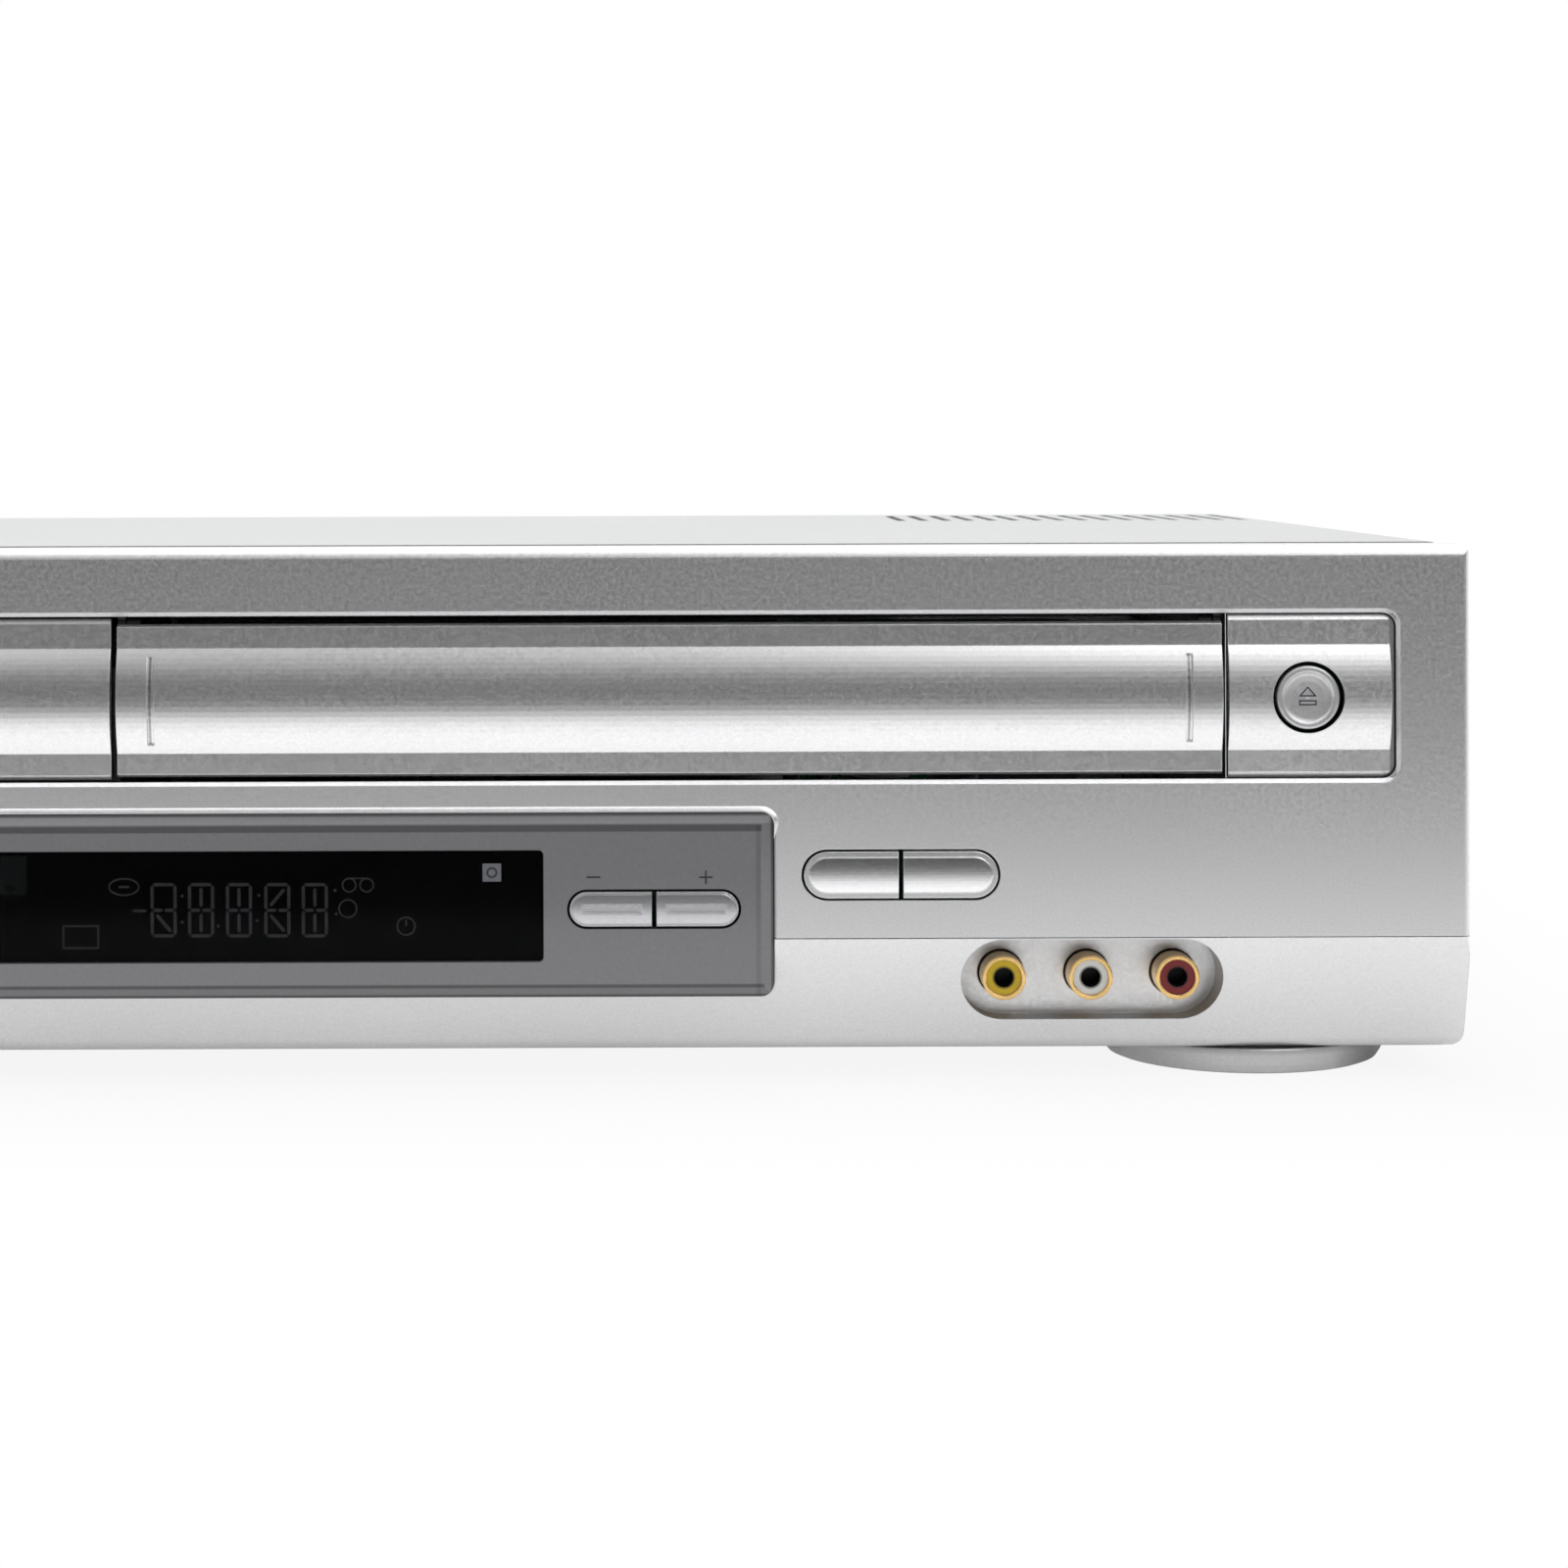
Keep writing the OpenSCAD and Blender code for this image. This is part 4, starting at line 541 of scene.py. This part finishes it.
def mark(name, node, body, mat, filled=(), outlines=(), lift=0.03, depth=0.06):
    """A thin printed mark that follows the front of a node, of filled shapes and (line, width) outlines.

    lift is how far it stands out, and depth how thick it is, in millimetres."""
    mesh = bmesh.new()

    def lay(points, shift):
        places = [(x * MM, front_of(node, x, z) - shift * MM, z * MM) for x, z in points]
        return [mesh.verts.new(point) for point in places]

    for line in filled:
        line = along(line, STEP)
        top, low = lay(line, lift), lay(line, lift - depth)
        mesh.faces.new(top)
        for i in range(len(line)):
            mesh.faces.new((top[i - 1], low[i - 1], low[i], top[i]))
    for line, width in outlines:
        inner = inset(line, width)
        if len(line) < ROUND_FROM:
            line, inner = split(line), split(inner)
        top, low = lay(line, lift), lay(line, lift - depth)
        top_in, low_in = lay(inner, lift), lay(inner, lift - depth)
        for i in range(len(line)):
            mesh.faces.new((top[i - 1], top[i], top_in[i], top_in[i - 1]))
            mesh.faces.new((top[i - 1], low[i - 1], low[i], top[i]))
            mesh.faces.new((top_in[i], low_in[i], low_in[i - 1], top_in[i - 1]))
    bmesh.ops.recalc_face_normals(mesh, faces=mesh.faces)
    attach(make_object(mesh, name, mat), body)


def eject_symbol(cx, cz):
    """A triangle over a bar."""
    triangle = [(cx - 1.7, cz + 0.15), (cx + 1.7, cz + 0.15), (cx, cz + 2.05)]
    return [(triangle, LINE), (bar(cx - 1.65, cz - 1.5, cx + 1.65, cz - 0.55), LINE)]


def play_symbol(cx, cz):
    return [([(cx - 1.6, cz - 1.7), (cx + 1.4, cz), (cx - 1.6, cz + 1.7)], LINE)]


def stop_symbol(cx, cz):
    return [(bar(cx - 1.6, cz - 1.4, cx + 1.2, cz + 1.4), LINE)]


def power_symbol(cx, cz):
    """An open ring with a bar in its gap."""
    outer, inner, ring_z = 1.75, 1.45, cz - 0.1
    turns = [math.radians(125 + 290 * i / 30) for i in range(31)]
    ring = [(cx + outer * math.cos(turn), ring_z + outer * math.sin(turn)) for turn in turns]
    ring += [(cx + inner * math.cos(turn), ring_z + inner * math.sin(turn)) for turn in reversed(turns)]
    return [ring, bar(cx - 0.15, cz + 0.1, cx + 0.15, cz + 2.0)]


ink = finish("mark_ink", (0.035, 0.035, 0.042), 0.5, grain=2500.0, amount=0.2, drift=0.1)
mark("eject_symbol", "eject_button", "eject_button", ink, outlines=eject_symbol(eject_x, eject_z))
mark("tray_symbol", "open_close_button", "open_close_button", ink,
     outlines=eject_symbol(*middle_of("open_close_button")))
mark("play_symbol", "play_button", "play_button", ink, outlines=play_symbol(*middle_of("play_button")))
mark("stop_symbol", "stop_button", "stop_button", ink, outlines=stop_symbol(*middle_of("stop_button")))
mark("power_symbol", "power_button", "power_button", ink, filled=power_symbol(*middle_of("power_button")))

# ------------- window and display: places in the photograph's 1600 pixel frame
PIXELS_PER_MM = 5.46
LEVEL_X, LEVEL_PX, GROUND_PY = 69.2, 700, 1108.2
TILT = 0.0037
DOWN_SIGN, UP_SIGN = (604, 895), (718.7, 895)
DIGIT_LEFT = (152.3, 190.6, 229.4, 268.6, 307.0)
DIGIT_FOOT = 956.5
DASH_START, DASH_END = (131.6, 931), (147, 931)
DOTS = ((183.2, 915.7), (183.0, 942.5), (219.8, 946.5), (261.4, 915.0), (259.6, 941.0), (339.5, 910.0),
        (340.5, 934.0))
LEFT_REEL, RIGHT_REEL = (353.9, 904.5), (371.8, 904.5)
DISC, RING, CLOCK = (123.5, 906.5), (352.5, 928.5), (412.0, 946.5)
FRAME_LOW, FRAME_HIGH = (60.5, 970), (98, 945.5)
SQUARE_LOW, SQUARE_HIGH, SQUARE_RING = (491, 899.5), (510, 881), (500.5, 890.3)

# The sizes of the same signs, in millimetres.
MINUS_REACH, PLUS_REACH, SIGN_HALF, DOT_HALF = 1.3, 1.25, 0.17, 0.25
DIGIT_WIDTH, DIGIT_HEIGHT, SEGMENT, SEGMENT_GAP, DASH_WIDTH = 4.3, 9.6, 0.62, 0.12, 0.5
REEL_R, RING_R, SQUARE_RING_R, DISC_RX, DISC_RZ = 1.4, 1.8, 1.05, 2.95, 1.7
RING_LINE, DISC_LINE, FRAME_LINE, SQUARE_RING_LINE, TAPE_LINE = 0.28, 0.3, 0.35, 0.4, 0.25
DISC_BAR_REACH, DISC_BAR_HALF, HAND_HALF, HAND_LENGTH = 1.0, 0.2, 0.15, 1.2
SENSOR = (-66.0, 35.9, -54.6, 43.2)


def spot(px, py):
    """The place on the front, in millimetres, of a point in the photograph."""
    across = px - LEVEL_PX
    return LEVEL_X + across / PIXELS_PER_MM, (GROUND_PY - (py + TILT * across)) / PIXELS_PER_MM


def digit(x, z, strokes):
    """The segments of one place of the display from its lower left corner, strokes in shares of its size."""
    w, h, gap = DIGIT_WIDTH, DIGIT_HEIGHT, SEGMENT_GAP
    low, mid, top = z, z + h / 2, z + h
    lines = [(x + gap, top, x + w - gap, top), (x + gap, low, x + w - gap, low),
             (x + gap, mid, x + w / 2 - gap, mid), (x + w / 2 + gap, mid, x + w - gap, mid)]
    for side in (x, x + w):
        lines += [(side, low + gap, side, mid - gap), (side, mid + gap, side, top - gap)]
    for a, b, c, d in strokes:
        lines.append((x + w * a, z + h * b, x + w * c, z + h * d))
    return [stroke(*line, SEGMENT) for line in lines]


def display_shapes():
    """The digits, dash, dots and bars of the unlit display."""
    upright = [(0.5, 0.56, 0.5, 0.94), (0.5, 0.06, 0.5, 0.44)]
    slanted = [(0.18, 0.58, 0.82, 0.92), (0.18, 0.42, 0.82, 0.08)]
    shapes = []
    for px, strokes in zip(DIGIT_LEFT, (slanted[1:], upright, upright, slanted, upright)):
        shapes += digit(*spot(px, DIGIT_FOOT), strokes)
    shapes.append(stroke(*spot(*DASH_START), *spot(*DASH_END), DASH_WIDTH))
    for dot in DOTS:
        x, z = spot(*dot)
        shapes.append(bar(x - DOT_HALF, z - DOT_HALF, x + DOT_HALF, z + DOT_HALF))
    (left_x, reel_z), (right_x, _) = spot(*LEFT_REEL), spot(*RIGHT_REEL)
    shapes.append(bar(left_x, reel_z + REEL_R - TAPE_LINE, right_x, reel_z + REEL_R))
    (disc_x, disc_z), (clock_x, clock_z) = spot(*DISC), spot(*CLOCK)
    shapes.append(bar(disc_x - DISC_BAR_REACH, disc_z - DISC_BAR_HALF, disc_x + DISC_BAR_REACH,
                      disc_z + DISC_BAR_HALF))
    shapes.append(bar(clock_x - HAND_HALF, clock_z, clock_x + HAND_HALF, clock_z + HAND_LENGTH))
    return shapes


def display_rings():
    """The outlines of the unlit display: a disc, two reels, two rings and a frame."""
    rings = [(oval(*spot(*DISC), DISC_RX, DISC_RZ), DISC_LINE)]
    rings += [(oval(*spot(*at), REEL_R, REEL_R), RING_LINE) for at in (LEFT_REEL, RIGHT_REEL)]
    rings += [(oval(*spot(*at), RING_R, RING_R), RING_LINE) for at in (RING, CLOCK)]
    return rings + [(bar(*spot(*FRAME_LOW), *spot(*FRAME_HIGH)), FRAME_LINE)]


down_x, down_z = spot(*DOWN_SIGN)
down_sign = bar(down_x - MINUS_REACH, down_z - SIGN_HALF, down_x + MINUS_REACH, down_z + SIGN_HALF)
ghost = finish("ghost_segments", (0.27, 0.26, 0.24), 0.5, amount=0.15, drift=0.1)
pale = finish("pale_mark", (0.17, 0.175, 0.20), 0.5, amount=0.08, drift=0.05)
sensor = finish("sensor_green", (0.014, 0.020, 0.012), 0.3, grain=500.0, amount=0.2, drift=0.2)
mark("channel_signs", "display_window", "case", ink,
     filled=[down_sign, cross(*spot(*UP_SIGN), PLUS_REACH, SIGN_HALF)])
mark("display_segments", "display_mask", "case", ghost, filled=display_shapes(), outlines=display_rings())
mark("display_square", "display_window", "case", pale, filled=[bar(*spot(*SQUARE_LOW), *spot(*SQUARE_HIGH))])
square_ring = oval(*spot(*SQUARE_RING), SQUARE_RING_R, SQUARE_RING_R)
mark("record_ring", "display_window", "case", ink, outlines=[(square_ring, SQUARE_RING_LINE)], lift=0.045,
     depth=0.03)
mark("remote_sensor", "display_mask", "case", sensor, filled=[bar(*SENSOR)])


LIP_R, LIP_DROP, LIP_FADE, LIP_NEAR = 2.4, 5, 3.5, 0.1
# Distance from the opening and height over the panel, in millimetres.
LIP_PROFILE = ((1.15, -0.02), (1.1, 0.05), (0.8, 0.24), (0.45, 0.44), (0.3, 0.48), (0.17, 0.42),
               (LIP_NEAR, 0.25), (LIP_NEAR, -0.35))


def lip_line(half, top):
    """The window's upper edge, from LIP_DROP below its top at the left, round two corners, to the right."""
    line = [(-half, top - LIP_DROP + i * 0.5) for i in range(6)]
    for turn in (math.pi * i / 16 for i in range(9)):
        line.append((-half + LIP_R - LIP_R * math.cos(turn), top - LIP_R + LIP_R * math.sin(turn)))
    end = len(line)
    line += [(x - half + LIP_R, top) for x in range(4, int(2 * (half - LIP_R)), 4)]
    return line + [(-x, z) for x, z in reversed(line[:end])]


def window_lip():
    """The flared upper lip of the window's opening, running out below the corners."""
    top = window_high[2]
    line = lip_line(window_high[0], top)
    face = front_of("front_panel", 0, top + 2)
    mesh = bmesh.new()
    rows = []
    for i, (x, z) in enumerate(line):
        (ax, az), (bx, bz) = line[max(i - 1, 0)], line[min(i + 1, len(line) - 1)]
        length = math.hypot(bx - ax, bz - az)
        out_x, out_z = -(bz - az) / length, (bx - ax) / length
        size = min(1.0, (z - (top - LIP_DROP)) / LIP_FADE + 0.05)
        row = []
        for distance, height in LIP_PROFILE:
            out = LIP_NEAR + (distance - LIP_NEAR) * size
            point = (x + out_x * out) * MM, face - height * size * MM, (z + out_z * out) * MM
            row.append(mesh.verts.new(point))
        rows.append(row)
    for a, b in zip(rows, rows[1:]):
        for i in range(len(LIP_PROFILE) - 1):
            mesh.faces.new((a[i], a[i + 1], b[i + 1], b[i]))
    bmesh.ops.recalc_face_normals(mesh, faces=mesh.faces)
    if mesh.faces[len(mesh.faces) // 2].normal.y > 0:
        bmesh.ops.reverse_faces(mesh, faces=mesh.faces)
    lip = make_object(mesh, "window_lip", MATERIALS["panel_silver"])
    for polygon in lip.data.polygons:
        polygon.use_smooth = True
    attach(lip, "case")


window_lip()


# ------------------------------------------------ camera, lamp, room and floor
WHITE, BAND_DARK = (1.0, 1.0, 1.0), (0.03, 0.03, 0.031)
ROOM_LEVEL, PATCH_LEVEL = 1.05, 1.9
# The patches from left to right: place across them and brightness.
PATCHES = ((0.0, 0.52), (0.12, 0.34), (0.20, 0.16), (0.30, 0.03), (0.45, 0.01), (0.55, 0.05), (0.65, 0.30),
           (0.72, 1.0), (1.0, 1.4))
# Where each part of the room starts and ends, on a ball of radius 1 round the object.
AHEAD_Y = (0.6, -0.5)
BAND_LOW_Z, BAND_HIGH_Z = (-0.45, -0.25), (0.22, 0.62)
PATCH_X, PATCH_LOW_Z, PATCH_HIGH_Z = (-0.25, 0.25), (0.1, 0.25), (0.93, 0.99)
MATT_Z, MATT_LEVELS = (-0.2, 1.0), (0.45, 0.62)
# The floor, in metres, and how white it is beside the case and a little way from it.
HALF_WIDTH, HALF_DEPTH = 0.215, 0.135
FLOOR_SIDE, FLOOR_FRONT = 2.5, -0.36
SEEN_WHITE, SEEN_FADE = (0.89, 1.0), (0.0, 0.08)
GLOSS_WHITE, GLOSS_FADE = (0.18, 1.0), (0.0, 0.075)
SEEN_STRENGTH, GLOSS_STRENGTH = 1.0, 1.28


def add_camera():
    """A level camera in front of the right half, with a shifted lens."""
    data = bpy.data.cameras.new("camera")
    data.lens = 75.8
    data.sensor_width = 36
    data.shift_x = 0.0625
    data.shift_y = -0.2156
    camera = bpy.data.objects.new("camera", data)
    camera.location = (0.0692, -0.7511, 0.1196)
    camera.rotation_euler = (math.radians(90), math.radians(0.2), 0)
    scene.collection.objects.link(camera)
    scene.camera = camera


def add_lamp():
    """One wide soft lamp overhead."""
    data = bpy.data.lights.new("overhead", "AREA")
    data.shape = "RECTANGLE"
    data.size = 1.5
    data.size_y = 1.1
    data.energy = 9.0
    location, aim = Vector((-0.1, 0.1, 1.5)), Vector((0.05, -0.05, 0))
    lamp = bpy.data.objects.new("overhead", data)
    lamp.location = location
    lamp.rotation_euler = (aim - location).to_track_quat("-Z", "Y").to_euler()
    scene.collection.objects.link(lamp)


def add_room():
    """White to the camera and through the window, and a plain soft light on matt surfaces.

    Gloss sees a light room with a dark band in front of the object, and above the band patches that grow
    brighter to the right."""
    world = bpy.data.worlds.new("room")
    scene.world = world
    world.use_nodes = True
    tree = world.node_tree
    tree.nodes.clear()
    x, y, z = add(tree, "SeparateXYZ", {0: add(tree, "TexCoord").outputs["Generated"]}).outputs
    ahead = smooth(tree, y, 0.0, 1.0, *AHEAD_Y)
    band = times(tree, smooth(tree, z, 0.0, 1.0, *BAND_LOW_Z), smooth(tree, z, 1.0, 0.0, *BAND_HIGH_Z))
    ramp = add(tree, "ValToRGB", {0: ranged(tree, x, 0.0, 1.0, *PATCH_X)})
    elements = ramp.color_ramp.elements
    for at, level in PATCHES:
        element = elements.new(at) if 0 < at < 1 else elements[-int(at)]
        element.color = (level, level, level, 1)
    patches = times(tree, ramp.outputs[0], PATCH_LEVEL)
    above_band = times(tree, ranged(tree, z, 0.0, 1.0, *PATCH_LOW_Z),
                       times(tree, ahead, ranged(tree, z, 1.0, 0.0, *PATCH_HIGH_Z)))
    light = grey_of(tree, add(tree, "Mix", {0: above_band, 2: ROOM_LEVEL, 3: patches}).outputs[0])
    glossy = mix_colour(tree, times(tree, band, ahead), light, BAND_DARK)
    matt = grey_of(tree, ranged(tree, z, *MATT_LEVELS, *MATT_Z))
    ray = add(tree, "LightPath").outputs
    seen = mix_colour(tree, ray["Is Glossy Ray"], matt, glossy)
    through = math_node(tree, "MAXIMUM", ray["Is Camera Ray"], ray["Is Transmission Ray"])
    seen = mix_colour(tree, through, seen, WHITE)
    background = add(tree, "Background", {"Color": seen, "Strength": 1.0}).outputs[0]
    add(tree, "OutputWorld", {"Surface": background})


def floor_material():
    """A pale floor that runs to white a little way from the object, for the camera and for gloss."""
    mat, tree = material("floor_white")
    x, y, _ = position(tree)
    off = math_node(tree, "MAXIMUM", minus(tree, size_of(tree, x), HALF_WIDTH),
                    minus(tree, size_of(tree, y), HALF_DEPTH))
    ray = add(tree, "LightPath").outputs
    seen = times(tree, ray["Is Camera Ray"], ranged(tree, off, *SEEN_WHITE, *SEEN_FADE))
    mirrored = times(tree, ray["Is Glossy Ray"], ranged(tree, off, *GLOSS_WHITE, *GLOSS_FADE))
    base = mix_colour(tree, noise(tree, 30.0), (0.86, 0.86, 0.86), (0.90, 0.90, 0.90))
    diffuse = add(tree, "BsdfDiffuse", {"Color": base}).outputs[0]
    strength = ranged(tree, ray["Is Glossy Ray"], SEEN_STRENGTH, GLOSS_STRENGTH)
    white = add(tree, "Emission", {"Color": (*WHITE, 1), "Strength": strength}).outputs[0]
    glow = math_node(tree, "ADD", seen, mirrored)
    output(tree, add(tree, "MixShader", {0: glow, 1: diffuse, 2: white}).outputs[0])
    return mat


def add_floor():
    mesh = bmesh.new()
    corners = ((-FLOOR_SIDE, FLOOR_FRONT), (FLOOR_SIDE, FLOOR_FRONT), (FLOOR_SIDE, FLOOR_SIDE),
               (-FLOOR_SIDE, FLOOR_SIDE))
    mesh.faces.new([mesh.verts.new((x, y, 0)) for x, y in corners])
    make_object(mesh, "floor", floor_material())


add_camera()
add_lamp()
add_room()
add_floor()
